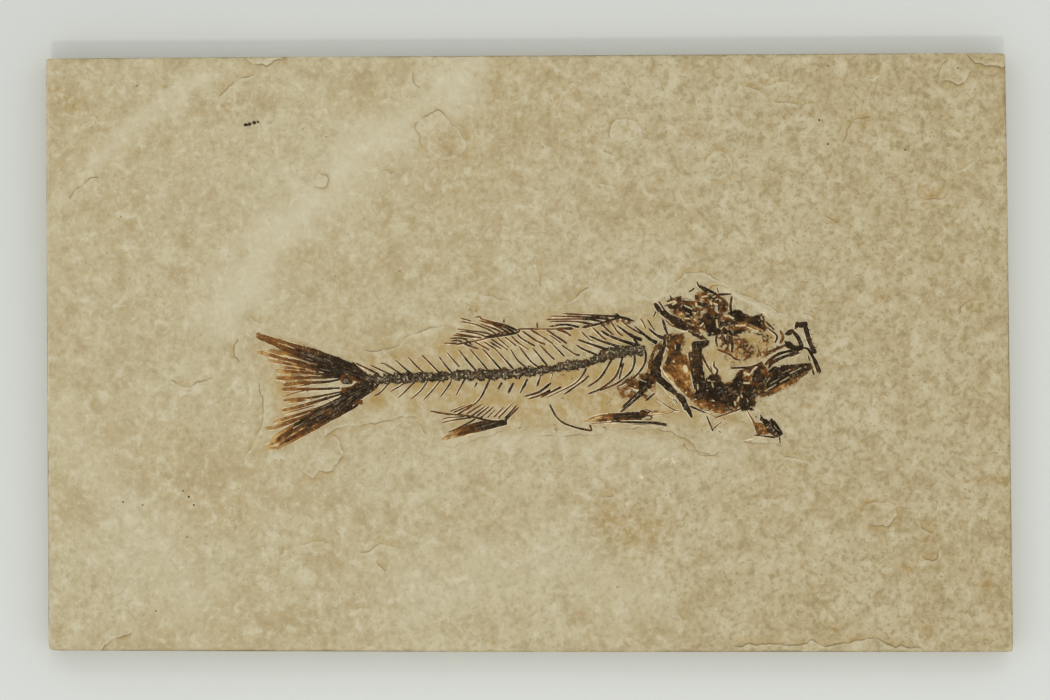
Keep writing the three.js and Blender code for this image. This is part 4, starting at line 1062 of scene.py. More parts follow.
        (2, 3.5, 0.05, 0, (648.5, 328.5), (656.5, 335), (664, 338.5)),
        (3, 2, 0.15, 0, (662.5, 319), (665.5, 329), (668, 335)),
    ],
    "rib_1": [(1.5, 2, 0.25, 0.1, (548, 397), (566, 388.5), (575.5, 383), (582.5, 375.5), (586.5, 368))],
    "rib_2": [(2, 2.5, 0.2, 0.1, (564, 394.5), (582.5, 381.5), (588.5, 376))],
    "rib_3": [(2, 2.5, 0.2, 0.05, (587.5, 387), (600.5, 377.5), (611.5, 359.5), (613, 355))],
    "rib_4": [
        (2, 2.5, 0.2, 0.05, (588, 394), (602, 388), (616, 376), (622.5, 358), (623, 354)),
        (2, 2.5, 0.3, 0.15, (619, 380), (623.5, 363)),
    ],
    "rib_5": [(2, 2.5, 0.25, 0.05, (599, 391), (617.5, 383), (631, 371.5), (634.5, 362), (634.5, 352))],
    "rib_6": [(2, 2.5, 0.25, 0.05, (617.5, 386.5), (634, 377.5), (643.5, 366), (646, 356), (644.5, 349.5))],
    "rear_rib_1": [(2, 2.5, 0.25, 0.05, (524, 396.5), (539, 392), (551, 383))],
    "rear_rib_2": [(2, 2.5, 0.3, 0.1, (528.5, 399), (541, 395), (550.5, 390))],
    "rear_rib_3": [(2, 2.5, 0.3, 0.1, (540.5, 397.5), (561, 387))],
    "anal_fin": [
        (2, 2.5, 0.15, 0.05, (519, 407), (505.5, 420)), (1.5, 2.5, 0.15, 0.05, (517.5, 404.5), (505, 418.5)),
        (1.5, 2, 0.35, 0.25, (514.5, 401.5), (498.5, 418)), (1.5, 2, 0.35, 0.2, (503.5, 407.5), (494, 417)),
        (1.5, 2, 0.35, 0.2, (495.5, 409.5), (487.5, 417.5)), (1.5, 2, 0.35, 0.2, (494, 406.5), (480, 418.5)),
        (1.5, 2, 0.3, 0.15, (489, 406.5), (476.5, 416.5)), (1.5, 2, 0.35, 0.2, (485, 406.5), (471, 416.5)),
        (1.5, 2, 0.3, 0.2, (482.5, 404), (466.5, 414)), (1.5, 2, 0.3, 0.2, (475, 404), (457.5, 414.5)),
        (1.5, 2, 0.35, 0.2, (473, 404), (453.5, 412.5)), (1.5, 1.5, 0.35, 0.2, (466, 405), (450, 411.5)),
        (2, 2.5, 0.4, 0.05, (430, 411), (447, 414), (466, 415.5), (491.5, 421), (507, 420.5)),
        (1.5, 3.5, 0.95, 0, (441, 440), (466, 434), (507, 423)),
        (2, 3.5, 0.95, 0, (444, 437), (466, 431), (506, 421.5)),
        (2, 3, 0.95, 0, (448, 434.5), (477, 425), (498, 421)),
        (1.5, 2.5, 0.8, 0.05, (452, 432), (469, 425.5), (487, 420.5)),
        (1.5, 2, 0.6, 0.2, (448, 432.5), (463.5, 425.5), (475.5, 419)),
        (1.5, 2, 0.6, 0.2, (442.5, 422.5), (457, 419.5), (471.5, 417.5)),
        (1.5, 1.5, 0.6, 0.2, (442.5, 419), (450, 417.5), (465, 416.5)),
    ],
    "isolated_spine": [
        (2, 2, 0.1, 0.1, (549.5, 404), (557, 417.5), (568, 425), (589.5, 430.5), (591, 428), (589.5, 425)),
    ],
    "pelvic_fin": [
        (2, 3.5, 0.9, 0.05, (585, 421), (602, 415.5), (640, 413.5)),
        (2.5, 3.5, 0.95, 0.05, (584, 421.5), (603, 417.5), (642, 416)),
        (2, 3, 0.95, 0.05, (586, 421.5), (612, 419), (642, 418.5)),
    ],
    "pelvic_bone": [
        (1.5, 3.5, 0.1, 0.05, (610, 421.5), (640, 422.5), (655, 423), (666.5, 425)),
        (1, 1, 0.4, 0.3, (592, 423.5), (610, 422.5), (618, 423)), (1, 1, 0.45, 0.45, (632, 424), (650, 425)),
    ],
    "pelvic_girdle": [
        (2, 1.5, 0.05, 0.05, (639, 412), (643, 410.5), (647, 412.5), (646, 416), (641, 416.5)),
        (2, 1, 0.05, 0.05, (643, 417), (648, 415.5), (652, 417), (650, 419.5), (645, 419)),
        (1.5, 1, 0.05, 0.1, (645, 409), (653, 412)), (3, 1.5, 0.45, 0.5, (652, 411.5), (668, 412)),
        (1, 1, 0.25, 0.25, (663.5, 413.5), (670, 413), (674.5, 410.5), (681, 411)),
        (1, 1, 0.2, 0.35, (650, 415.5), (664, 414)),
    ],
    "pectoral_girdle": [
        (2.5, 2.5, 0.1, 0.05, (622, 408), (644, 387)),
        (2.5, 3, 0.1, 0.05, (620, 412.5), (635, 400), (649.5, 386)),
        (2, 2.5, 0.4, 0.25, (626, 379), (642, 385)), (1.5, 2.5, 0.45, 0.25, (625, 386), (640, 389)),
        (2.5, 1.5, 0.15, 0.15, (645.5, 401), (655, 393)),
    ],
    "pectoral_ray": [
        (1, 1.5, 0.35, 0.2, (656.5, 399), (671.5, 408.5), (678.5, 411)),
        (1, 1, 0.1, 0.1, (672, 406), (674, 402), (673, 399.5), (676, 400.5), (678, 404)),
    ],
    "cleithrum": [
        (3.5, 4, 0.05, 0, (665, 334), (665.5, 339), (664, 346)),
        (4, 8.5, 0, 0, (664, 346), (658.5, 359), (656, 365.5)),
        (9.5, 9, 0, 0, (656, 365.5), (655, 372), (656.5, 376.5)),
        (8, 5.5, 0, 0, (656.5, 376.5), (669, 387.5), (676, 393.5)),
        (5.5, 6.5, 0, 0, (676, 393.5), (681.5, 398.5), (685.5, 404)),
        (6, 2.5, 0.05, 0.05, (685.5, 404), (692, 417.5)),
        (3, 4, 0.5, 0.45, (654.5, 349), (650.5, 362), (649.5, 369)),
    ],
    "supracleithrum": [
        (5, 5, 0, 0, (654.5, 303), (660, 311)), (5, 7, 0, 0.1, (660, 311), (674, 320.5), (685.5, 328)),
        (1.5, 4, 0, 0, (658.5, 301), (668, 314), (682, 321)),
        (1.5, 2.5, 0.4, 0.4, (664.5, 318.5), (671, 325), (685.5, 330)),
        (2.5, 1.5, 0.05, 0.05, (653.5, 316.5), (656, 311.5)),
    ],
    "preopercle": [
        (2.5, 3, 0.05, 0.05, (689, 352.5), (692, 370.5), (695.5, 389)),
        (7, 7.5, 0, 0, (695, 343.5), (698.5, 364.5), (703, 387)),
        (3.5, 3, 0.4, 0.4, (692.5, 345), (697.5, 380)),
        (2.5, 2, 0.25, 0.35, (701, 352.5), (706.5, 364.5), (714, 376)),
        (2, 2.5, 0.35, 0.2, (714.5, 361), (714, 366), (717.5, 370), (716, 375)),
        (1.5, 1.5, 0.3, 0.3, (710.5, 366), (713, 376)), (5, 3.5, 0, 0.05, (696, 343.5), (709, 341.5)),
    ],
    "branchiostegal_1": [(2.5, 1.5, 0, 0.1, (689.5, 406), (705, 412.5)),
        (1, 1, 0.2, 0.2, (705, 410), (710, 411))],
    "branchiostegal_2": [
        (1.5, 2, 0.3, 0.2, (714.5, 418), (736, 410.5), (742, 408)),
        (1, 1, 0.25, 0.25, (709, 413.5), (729, 411)),
        (1, 1, 0.35, 0.35, (706, 412.5), (716, 417)),
        (1.5, 1, 0.45, 0.45, (724.5, 408), (726.5, 411.5), (725.5, 414.5)),
    ],
    "gill_splint": [
        (1.5, 2, 0, 0, (706.5, 415.5), (713, 431)), (1.5, 1, 0.05, 0.05, (713.5, 428.5), (721, 422.5)),
        (1, 1, 0.1, 0.1, (722.5, 417), (725, 419.5)),
    ],
    "lower_orbit_bar": [
        (2, 2.5, 0.15, 0.1, (730, 368), (750, 367), (762.5, 362.5)),
        (2, 1, 0.25, 0.2, (744, 370), (754, 367)),
    ],
    "orbit_rim": [
        (2.5, 2, 0.3, 0.35, (716.5, 349), (730, 354.5), (734.5, 358.5), (740.5, 360)),
        (3, 2.5, 0.2, 0.3, (731.5, 335), (732.5, 344), (732, 352.5)),
        (3, 1.5, 0.15, 0.4, (717.5, 334.5), (716, 340), (717.5, 347)),
        (4, 1, 0.4, 0.6, (723, 334), (721.5, 339), (724, 344)),
        (3.5, 1, 0.35, 0.6, (728, 334), (727, 338), (729.5, 343)),
    ],
    "nasal_bone": [
        (2.5, 2, 0.1, 0.1, (765, 321), (774.5, 330)),
        (2, 2, 0.15, 0.1, (768, 328), (775.5, 334), (777, 338), (775, 342.5)),
        (2, 1.5, 0.05, 0.05, (772.5, 324), (774.5, 325.5)),
        (3, 2.5, 0.7, 0.7, (780, 330), (783, 337), (780, 343.5)),
    ],
    "premaxilla": [
        (5, 5, 0.05, 0, (785.5, 334.5), (793.5, 330.5)),
        (4.5, 4, 0, 0, (792.5, 331), (798, 337.5), (801.5, 346), (800.5, 350)),
        (4.5, 4, 0, 0, (795.5, 329), (798, 322)), (5.5, 5, 0, 0, (797, 325.5), (807.5, 324)),
        (5, 4.5, 0, 0, (805, 325), (808, 336), (811, 345), (815.5, 353.5)),
        (2, 3.5, 0.05, 0, (801.5, 348), (808, 349), (814, 358.5)),
        (3.5, 5.5, 0, 0, (813, 356.5), (818.5, 369.5), (818.5, 372.5)),
        (1.5, 1.5, 0.05, 0.05, (808, 355.5), (810, 361)), (3, 2, 0.05, 0.05, (812.5, 369), (814, 375)),
        (2, 1, 0, 0.1, (808, 329), (811, 330.5)), (2, 1, 0, 0.1, (809, 333.5), (812, 334.5)),
        (2, 1, 0, 0.1, (810, 338), (813, 339.5)), (2, 1, 0, 0.1, (811.5, 342.5), (814.5, 343.5)),
        (2, 1, 0, 0.1, (814, 347), (817, 348)),
    ],
    "maxilla": [
        (4, 5, 0, 0, (785.5, 343.5), (794.5, 347.5), (800.5, 349)),
        (3.5, 3, 0.1, 0, (764.5, 365.5), (777.5, 354.5), (797.5, 349.5)),
        (3.5, 3, 0.1, 0, (768.5, 368.5), (773, 362), (786.5, 356), (798.5, 352)),
        (1.5, 1.5, 0.1, 0.1, (789.5, 357), (799.5, 353)),
        (3, 3, 0.4, 0.3, (768, 352.5), (786, 345)),
    ],
    "skull_crest": [
        (1.5, 3, 0, 0, (697, 281.5), (698.5, 285.5), (702.5, 287)),
        (3, 3, 0, 0.05, (701.5, 286.5), (717, 294.5)),
        (3, 1.5, 0.05, 0.05, (717, 294.5), (731.5, 294)),
        (2, 2, 0.05, 0.05, (688.5, 292), (692.5, 290), (694, 288)),
        (1.5, 1.5, 0.05, 0.05, (717, 287.5), (718.5, 292.5)),
        (2.5, 3, 0.35, 0.1, (732, 295.5), (730.5, 307), (731.5, 312.5)),
        (3, 1.5, 0.85, 0.95, (709.5, 290), (712, 286), (719, 285)),
        (1.5, 1, 0.9, 0.95, (725, 286.5), (730, 289.5)),
    ],
    "hyoid_fragment": [
        (1, 2.5, 0.8, 0.7, (746.5, 409.5), (754.5, 423)), (1.5, 2, 0.05, 0.05, (754, 435), (775.5, 437.5)),
        (2.5, 1.5, 0.05, 0.05, (779.5, 436), (780, 443)), (4, 3, 0, 0, (764, 418.5), (779.5, 434.5)),
        (3, 3, 0, 0, (772.5, 419.5), (782, 433.5)),
    ],
}

# A crushed plate: height in millimetres, amber share, direction of its streaks in degrees, then its outline.
# An amber share that changes has both shares and the marks where they hold; a fan has its hub for degrees.
PLATES = {
    "tail_fin_upper_lobe": [
        (0.5, (0.9, 0, (264, 338), (330, 358)),
        (372, 379), (256.5, 332.5), (278, 338), (300, 346), (328, 355), (350, 363.5),
         (358, 366), (367, 373), (369, 383), (360, 384), (351, 380), (328, 375), (302, 365), (286, 352.5),
         (257, 336.5)),
        (0.5, (0.95, 0.1, (272, 352), (318, 362)),
        (372, 379), (270, 349), (296, 356), (320, 368), (306, 364.5), (276, 353.5)),
        (0.3, 0.95, (372, 379), (276, 357), (300, 364), (326, 376), (312, 380), (286, 383), (284, 372)),
        (0.5, 0.45, -5, (341, 374.5), (347, 373.5), (353.5, 375.5), (354.5, 380), (352, 384.5), (342.5, 384),
        (339.5, 379.5)),
    ],
    "tail_fin_lower_lobe": [
        (0.5, (0.9, 0, (272, 442), (334, 408)),
        (376, 382), (264, 447), (279, 434.5), (306, 414.5), (330, 401.5), (352, 390),
         (360, 383), (368, 380), (372, 390), (356, 403), (336, 417.5), (308, 432.5), (286, 444.5),
         (274, 449.5)),
        (0.5, 0.45, 12, (341.5, 387.5), (350.5, 386.5), (360, 380), (362, 386), (345, 394), (340.5, 392.5)),
        (0.4, 0.45, 30, (355, 400.5), (362, 399.5), (363, 404), (354, 405)),
    ],
    "second_dorsal_fin": [
        (0.3, 0.6, -18, (490, 334.5), (505, 330), (513, 330), (519, 332.5), (506, 336.5), (489, 338)),
    ],
    "first_dorsal_fin": [(0.3, 0.35, -8, (597, 322), (622, 317.5), (636, 321), (630, 324), (598, 327))],
    "anal_fin": [
        (0.5, (0.95, 0, (452, 436), (486, 425)),
        (512, 418), (440, 439), (466, 427), (480, 421.5), (507, 419.5),
         (507, 424), (478, 431.5), (446, 440)),
    ],
    "pelvic_fin": [
        (0.6, (1.1, 0, (590, 419), (622, 415)),
        (668, 414), (590, 422.5), (587, 420), (599, 415), (614, 413), (642, 411.5),
         (651, 411), (645, 418), (636, 420), (598, 422)),
    ],
    "pectoral_girdle": [
        (0.25, 0.55, 30, (616, 384), (636, 374), (650, 372), (656, 378), (656, 392), (648, 400), (620, 398)),
        (0.9, 0, 40, (640, 378), (650, 377), (655.5, 383), (650, 388.5), (640, 391), (637.5, 385)),
        (0.4, 0.6, 20, (641, 374.5), (646, 373.5), (648, 377.5), (642, 379)),
    ],
    "cleithrum": [
        (0.3, 0.5, 80, (650, 350), (662, 340), (662, 354), (656, 366), (650, 384), (646, 378), (648, 364)),
        (0.8, 0, 60, (679, 399), (684, 399), (688, 404), (688, 410), (684.5, 411)),
        (0.9, 0, 80, (650, 370), (653, 363), (660, 362.5), (661, 374), (664, 382), (657, 382.5), (651, 378)),
    ],
    "supracleithrum": [(0.6, 0.1, -30, (668, 313), (684, 321), (689, 326), (687, 331), (678, 329),
        (670, 322))],
    "orbit_rim": [
        (0.3, 0.65, 30, (725.5, 355), (730, 356.5), (729, 361), (724.5, 359)),
        (0.3, 0.6, 10, (731, 361), (737, 362.5), (736, 367), (730, 366)),
    ],
    "premaxilla": [(0.8, 0, 60, (784.5, 333.5), (789, 330.5), (790.5, 333), (787.5, 336.5))],
    "maxilla": [(0.8, 0, -20, (784.5, 341), (790, 341), (793.5, 345), (800, 347.5), (800.5, 351),
        (792, 350.5), (786, 347))],
    "hyoid_fragment": [
        (0.5, 0.7, 60, (751.5, 419.5), (754.5, 422.5), (762, 423), (770.5, 432), (769, 434.5), (757, 435),
        (755, 428)),
        (0.8, 0, -48, (760.5, 414.5), (768, 421.5), (771.5, 418), (778, 426.5), (784, 434), (778, 438),
        (768, 432.5),
         (763.5, 424), (760, 420)),
    ],
    "opercle": [
        (0.3, 0.8, -50, (661, 369), (669, 357), (676, 353.5), (688, 354.5), (691, 364), (693, 388),
        (696, 398), (692, 402),
         (680, 389), (672, 381.5)),
        (0.45, 0.8, -50, (663, 368), (672, 357), (680, 354.5), (688, 355), (690.5, 378), (692, 389),
        (690, 396), (677, 386)),
        (0.55, 0.2, 30, (664, 366.5), (669, 353), (680, 351), (682, 354.5), (676, 357.5), (668, 368)),
        (0.45, 0.4, -35, (676, 379), (681, 380.5), (688, 385.5), (680, 385)),
        (0.45, 0.45, 80, (674.5, 371), (677, 371), (677.5, 375), (675, 375)),
    ],
    "hyomandibular": [
        (0.3, 0.4, 80, (662, 334), (684, 333), (686, 342), (678, 358), (668, 356), (663, 346)),
        (0.8, 0.05, 80, (663, 334), (670, 334), (668, 348), (663, 349)),
        (0.6, 0.2, 80, (670, 336), (677, 334), (684.5, 337), (681, 345), (680, 352), (670.5, 352)),
        (0.4, 0.55, 80, (681, 341), (685, 340), (685, 344), (681.5, 345)),
        (0.7, 0.05, 0, (656, 345.5), (662, 344.5), (663, 350), (658, 350)),
    ],
    "preopercle": [
        (0.9, 0, -82, (691, 345), (693.5, 341), (710, 341), (708.5, 345), (702.5, 349), (701.5, 354),
        (695, 354)),
        (0.9, 0, -83, (689, 352), (701, 351), (704, 372), (708, 392), (696, 392), (690, 362)),
    ],
    "jaw_joint": [
        (0.3, 0.45, 10, (692, 398), (706, 378), (712, 374), (720, 376), (724, 383), (732, 381), (742, 368),
        (766, 362),
         (768, 372), (766, 388), (756, 400), (757, 406), (750, 411), (714, 413), (700, 409)),
        (1, 0, 20, (694, 394), (698, 390), (704, 389), (706, 380), (711, 374.5), (718, 374.5), (724, 384),
        (730, 383),
         (741, 369.5), (743, 369.5), (744, 384), (763, 386), (765, 390), (752, 399.5), (740, 400),
         (735, 407), (714, 407),
         (704, 400)),
        (0.8, 0.2, 75, (752, 377), (754, 370), (759, 365), (765, 366.5), (765, 380), (761, 385), (752, 385)),
        (0.7, 0.1, 30, (738, 399), (746, 397), (753, 399), (752, 405), (748, 410), (741, 411)),
        (0.6, 0.3, 40, (751, 401), (755, 400), (757, 402.5), (755, 407), (751, 407)),
        (0.45, 0.8, -8, (692, 401), (697, 399.5), (717, 404.5), (715, 408), (705, 408.5), (697, 406)),
        (0.4, 0.7, -3, (708, 408.5), (730, 409.5), (727, 412), (718, 413.5)),
        (0.5, 0.4, 70, (733, 400), (740, 392), (742, 396), (737, 409), (733, 408)),
        (0.5, 0.4, 45, (722, 383), (727, 384), (733, 380), (740, 369), (742, 372), (733, 383), (727, 386)),
        (0.5, 0.4, 0, (743, 376), (751, 376), (751, 379.5), (743, 379.5)),
        (0.6, 0, 0, (748, 408), (752, 407.5), (755, 410.5), (750, 411)),
    ],
    "lower_jaw": [
        (0.3, 0.5, 28, (764, 374), (772, 368), (781, 365), (812, 363), (813, 369), (796, 383), (776, 394),
        (760, 398), (757, 392)),
        (0.9, 0, 28, (771, 367.5), (784, 365), (811, 363), (813, 368), (797, 377.5), (776, 388), (757, 396),
        (757, 390),
         (764, 379)),
        (0.5, 0.6, 28, (809, 370), (796, 382), (775, 393), (768, 396), (772, 391), (796, 377)),
        (0.5, 0.5, 30, (768, 376), (772, 372.5), (778, 372), (770, 378.5)),
    ],
    "skull_roof_rear": [
        (0.3, 0.5, -25, (666, 301), (672, 297), (698, 300), (703, 318), (700, 325), (704, 336), (686, 329),
        (682, 322),
         (668, 309)),
        (0.6, 0.1, -20, (664, 305), (668, 303.5), (683, 303), (698, 308), (692, 312), (694, 317), (688, 319),
        (681, 311),
         (668, 309)),
        (0.5, 0.45, -10, (681, 301), (698, 301), (699, 306), (684, 304)),
        (0.5, 0.3, -40, (684, 319), (694, 320), (699, 327), (697, 330.5), (688, 331)),
        (0.4, 0.6, -40, (690, 321), (696, 321), (698, 326), (692, 327)),
        (0.4, 0.8, -60, (677, 312), (683, 311.5), (684, 318), (680, 319)),
        (0.6, 0, 70, (669.5, 301), (670.5, 295.5), (674, 302)),
        (0.6, 0, 80, (676, 297), (681, 296.5), (680.5, 303), (677, 301)),
    ],
    "skull_crest": [
        (0.3, 0.5, 10, (695, 296), (700, 291), (722, 296), (729, 303), (729, 311), (722, 314), (713, 309),
        (697, 303)),
        (0.8, 0, -35, (696.5, 282), (700, 286), (708, 290.5), (719, 295.5), (706, 292.5), (699, 288)),
        (0.5, 0.55, -10, (699, 292.5), (708, 292.5), (713, 295.5), (706, 304), (699.5, 298)),
        (0.6, 0.1, 60, (709, 296), (714, 294), (721, 296), (723, 300), (717, 302.5), (708, 299)),
        (0.7, 0, -12, (697, 301.5), (712, 304.5), (716, 307), (713, 309), (699, 305.5)),
        (0.5, 0.5, -60, (719, 304), (724, 302.5), (728, 306), (724, 313.5), (719, 312)),
        (0.6, 0.1, 80, (694, 294.5), (698, 296), (700, 301), (695, 299.5)),
    ],
    "braincase": [
        (0.3, 0.35, 60, (696, 312), (700, 308), (712, 306), (722, 310), (730, 326), (724, 336), (704, 336),
        (694, 318)),
        (1, 0, 80, (703, 320), (709, 315), (715, 319), (719, 329), (723, 331), (722, 334.5), (708, 336.5),
        (706, 331)),
        (0.7, 0.15, 80, (709, 308), (714, 307), (716, 312), (714, 318), (707.5, 313)),
        (0.6, 0.2, 60, (697, 318), (703, 317), (707, 322), (703, 327), (698, 325)),
        (0.6, 0.05, -35, (686, 328.5), (698, 334), (704, 339.5), (701, 340), (688, 332)),
        (0.5, 0.3, -38, (695, 330), (707, 339), (703.5, 339.5)),
        (0.7, 0, -60, (717, 322), (721, 321), (731, 331), (724, 333)),
    ],
    "frontal": [
        (0.3, 0.5, -10, (722, 314), (732, 312), (748, 316), (762, 314), (770, 328), (764, 332), (726, 332),
        (718, 322)),
        (0.9, 0, -20, (727, 313), (735, 309.5), (739, 309.5), (751, 317), (761, 314), (765, 317), (764, 321),
        (769, 328),
         (765, 330), (744, 322), (737, 322)),
        (0.6, 0.4, -5, (722, 317.5), (728, 317), (740, 323), (738, 327), (730, 326)),
        (0.5, 0.65, -17, (735, 321.5), (744, 323), (760, 329), (757, 330), (740, 325.5)),
        (0.5, 0.4, 0, (758, 315.5), (762, 314), (765, 317.5), (763, 321), (758.5, 320)),
        (0.6, 0.2, -45, (763, 321.5), (773, 331.5), (764, 327)),
        (0.5, 0.45, -5, (732, 328), (741, 327.5), (748, 329.5), (736, 331.5)),
    ],
    "orbit_roof": [
        (0.2, 0.5, 70, (716, 337), (728, 335.5), (734, 337), (735, 350), (728, 356), (720, 350)),
        (0.25, 0.6, 20, (733, 338), (744, 337), (757, 350), (750, 360), (740, 362), (733, 357)),
        (0.8, 0, -5, (717, 331), (727, 332), (738, 329), (744, 329), (746, 332.5), (737, 334), (719, 334)),
        (0.5, 0.1, -20, (729, 333), (736, 333.5), (744, 338), (733, 336)),
        (0.5, 0.1, -25, (745, 329), (756, 334), (764, 333.5), (763, 335.5), (749, 333.5)),
        (0.5, 0.45, 10, (762, 336), (766, 334), (772, 337), (768, 343), (763, 342)),
        (0.4, 0.55, 40, (763, 354), (776, 346), (784, 344.5), (784, 347), (765, 357)),
        (0.25, 0.8, 70, (757, 343), (768, 343), (768, 352), (763, 359), (756, 360)),
    ],
}
# Bare stone that shows through: the half width and a short line each.
WINDOWS = {
    "tail_fin_lower_lobe": [(0.7, (293.5, 428), (308, 420)), (0.7, (280, 446.5), (302, 435))],
    "tail_fin_upper_lobe": [(0.6, (356, 365.5), (364, 372))],
    "supracleithrum": [(0.4, (672, 321.5), (680, 326.5))],
    "cleithrum": [(0.5, (679.5, 401), (681.5, 404.5))],
    "premaxilla": [(0.5, (811, 363), (817, 373))],
    "hyoid_fragment": [(0.7, (774.5, 426), (779.5, 433.5)), (1.2, (764, 417.5), (765.5, 419))],
    "pelvic_girdle": [(0.9, (643, 413.5), (645, 414.5))],
}
# How much of a node's plates has crumbled away.
BROKEN = {"skull_roof_rear": 0.3, "skull_crest": 0.25, "orbit_roof": 0.8, "braincase": 0.05, "frontal": 0.05,
          "lower_jaw": 0.05, "hyomandibular": 0.2, "pectoral_girdle": 0.25, "hyoid_fragment": 0.2,
              "maxilla": 0.1,
          "backbone_middle": 0.2, "backbone_front": 0.05, "second_dorsal_fin": 0.35, "first_dorsal_fin": 0.2}
# Middle of the backbone with its half height, all in marks.
BACKBONE = {
    "backbone_rear": [(362, 377.5, 3.5), (367, 378.5, 4.5), (380, 380, 5.5), (395, 378.5, 5),
        (410, 378, 5.5), (430, 377, 5),
                      (445, 376, 4.4), (469, 375, 5.3), (507, 374, 5), (531, 371.5, 5), (549, 369.5, 4.6),
                      (557, 368.5, 4)],
    "backbone_middle": [(557.5, 368, 3.8), (565, 366, 5), (575, 365, 5.6), (584, 363.5, 4.4),
        (591, 362.5, 3)],
    "backbone_front": [(592, 361.5, 3.8), (600, 357.5, 5), (606, 355, 6), (620, 351, 6.2), (630, 350, 6.2),
        (641.5, 349.5, 5.8)],
}
# Middles of the vertebra rims along the backbone.
RIMS = {
    "backbone_rear": [368, 377, 386, 396, 407, 419, 431, 443, 457, 469, 481, 494, 506, 518, 530, 542],
    "backbone_middle": [559, 568, 577, 586],
    "backbone_front": [594, 602, 611, 621, 631, 641],
}
# Scattered bits: half width of the patch, count, size of a bit, amber share, then middle points.
# Lengths and points are in marks.
CRUMBS = [
    (3, 16, 0.8, 0.15, (651, 346), (655, 345)), (2.5, 12, 0.8, 0.2, (667, 334), (667, 346)),
    (5, 16, 1, 0.1, (668, 299), (690, 310)), (5, 12, 1, 0.5, (684, 313), (692, 324), (686, 328)),
    (4, 12, 1, 0.35, (700, 294), (716, 299), (724, 310)),
    (3, 26, 0.9, 0.1, (706, 383), (712, 387), (703, 390)),
    (3, 26, 0.9, 0.2, (737, 396), (746, 408), (751, 404)), (3, 20, 0.9, 0.15, (746, 390), (760, 388)),
    (3, 20, 0.9, 0.1, (643, 412), (653, 412)), (2.5, 14, 0.8, 0.15, (650, 393), (648, 399)),
    (2, 10, 0.9, 0.4, (604, 426), (606, 429)), (2, 7, 0.8, 0.4, (607, 404), (609, 403)),
    (3, 10, 0.8, 0.6, (470, 309), (475, 311)), (1.5, 6, 0.9, 0.35, (555, 424), (557, 430)),
    (1, 3, 1.2, 0.1, (520, 428), (521, 428)), (1, 4, 0.9, 0.4, (562, 398.5), (566, 398.5)),
    (1.5, 8, 0.8, 0.2, (571.5, 376), (571, 379)), (1.5, 8, 0.8, 0.2, (558, 376), (565, 375)),
    (1.5, 5, 1, 0.1, (719, 432), (720, 432)), (1.5, 5, 1, 0.1, (756, 416), (757, 417)),
    (2, 8, 0.8, 0.3, (583, 349), (586, 357)), (2, 14, 0.8, 0.3, (460, 342), (484, 338)),
    (2, 20, 0.8, 0.2, (494, 333), (512, 333), (522, 330)), (2, 14, 0.8, 0.15, (466, 415), (504, 420)),
    (2, 12, 0.8, 0.15, (586, 326), (612, 320)), (2.5, 16, 0.8, 0.2, (620, 385), (640, 386)),
    (3, 16, 0.8, 0.45, (355, 381), (350, 389)), (3.5, 24, 0.8, 0.3, (366, 377), (370, 386)),
    (1.5, 10, 0.8, 0.2, (672, 402), (678, 404)), (2.5, 20, 0.8, 0.3, (748, 342), (741, 350), (736, 343)),
    (2.5, 14, 0.8, 0.3, (757, 343), (751, 350)), (2.5, 12, 0.9, 0.5, (766, 337), (772, 347)),
]
# Dark mineral grains in the stone: size in marks, then places.
GRAINS = [
    (1.5, (137, 86), (121, 217), (155, 295), (245, 296), (240, 151), (303, 129), (326, 137), (335, 276),
    (459, 107), (629, 95),
     (638, 92), (565, 182), (575, 185), (511, 243), (530, 257), (400, 271), (809, 228), (780, 281),
     (931, 285), (1003, 267),
     (998, 347), (442, 473), (493, 534), (617, 587), (377, 593), (385, 453), (666, 495), (801, 457),
     (872, 483), (1006, 513),
     (777, 590), (1009, 446), (843, 628), (254, 459), (277, 460), (281, 460), (107, 253), (229, 256),
     (543, 147), (633, 131),
     (406, 325), (317, 411), (611, 399), (632, 409), (496, 354)),
    (4.5, (254, 123), (250, 124)), (3.5, (247, 125), (258, 122), (245, 125)),
    (2.5, (828, 66), (828, 144), (958, 68), (905, 150), (819, 120), (253, 122), (246, 124), (183, 491),
    (189, 497), (194, 505),
     (156, 611), (187, 537), (123, 502), (143, 505)),
    (1.2, (259, 123), (264, 118), (274, 116), (281, 114), (288, 112), (299, 109), (303, 103), (306, 97),
    (357, 79), (361, 76),
     (365, 74), (370, 72), (380, 70), (338, 78), (342, 82), (350, 77), (507, 114), (510, 110), (513, 105),
     (516, 100),
     (317, 581), (333, 589), (308, 599), (320, 588), (326, 594)),
]
# Pale chips in the stone: size in marks, then places.
CHIPS = [
    (6, (675, 460), (662, 457), (643, 478)), (5, (660, 454), (641, 476), (626, 502), (709, 460)),
    (4, (628, 448), (677, 443)),
    (3.5, (643, 506), (827, 640), (919, 516), (931, 602), (883, 354), (666, 459), (624, 498), (646, 482),
    (672, 463)),
    (2.5, (368, 384), (388, 383), (353, 401), (657, 386), (613, 342), (692, 463), (700, 472), (960, 560),
    (1000, 608),
     (955, 640), (973, 95)),
]
PALE = 2.0
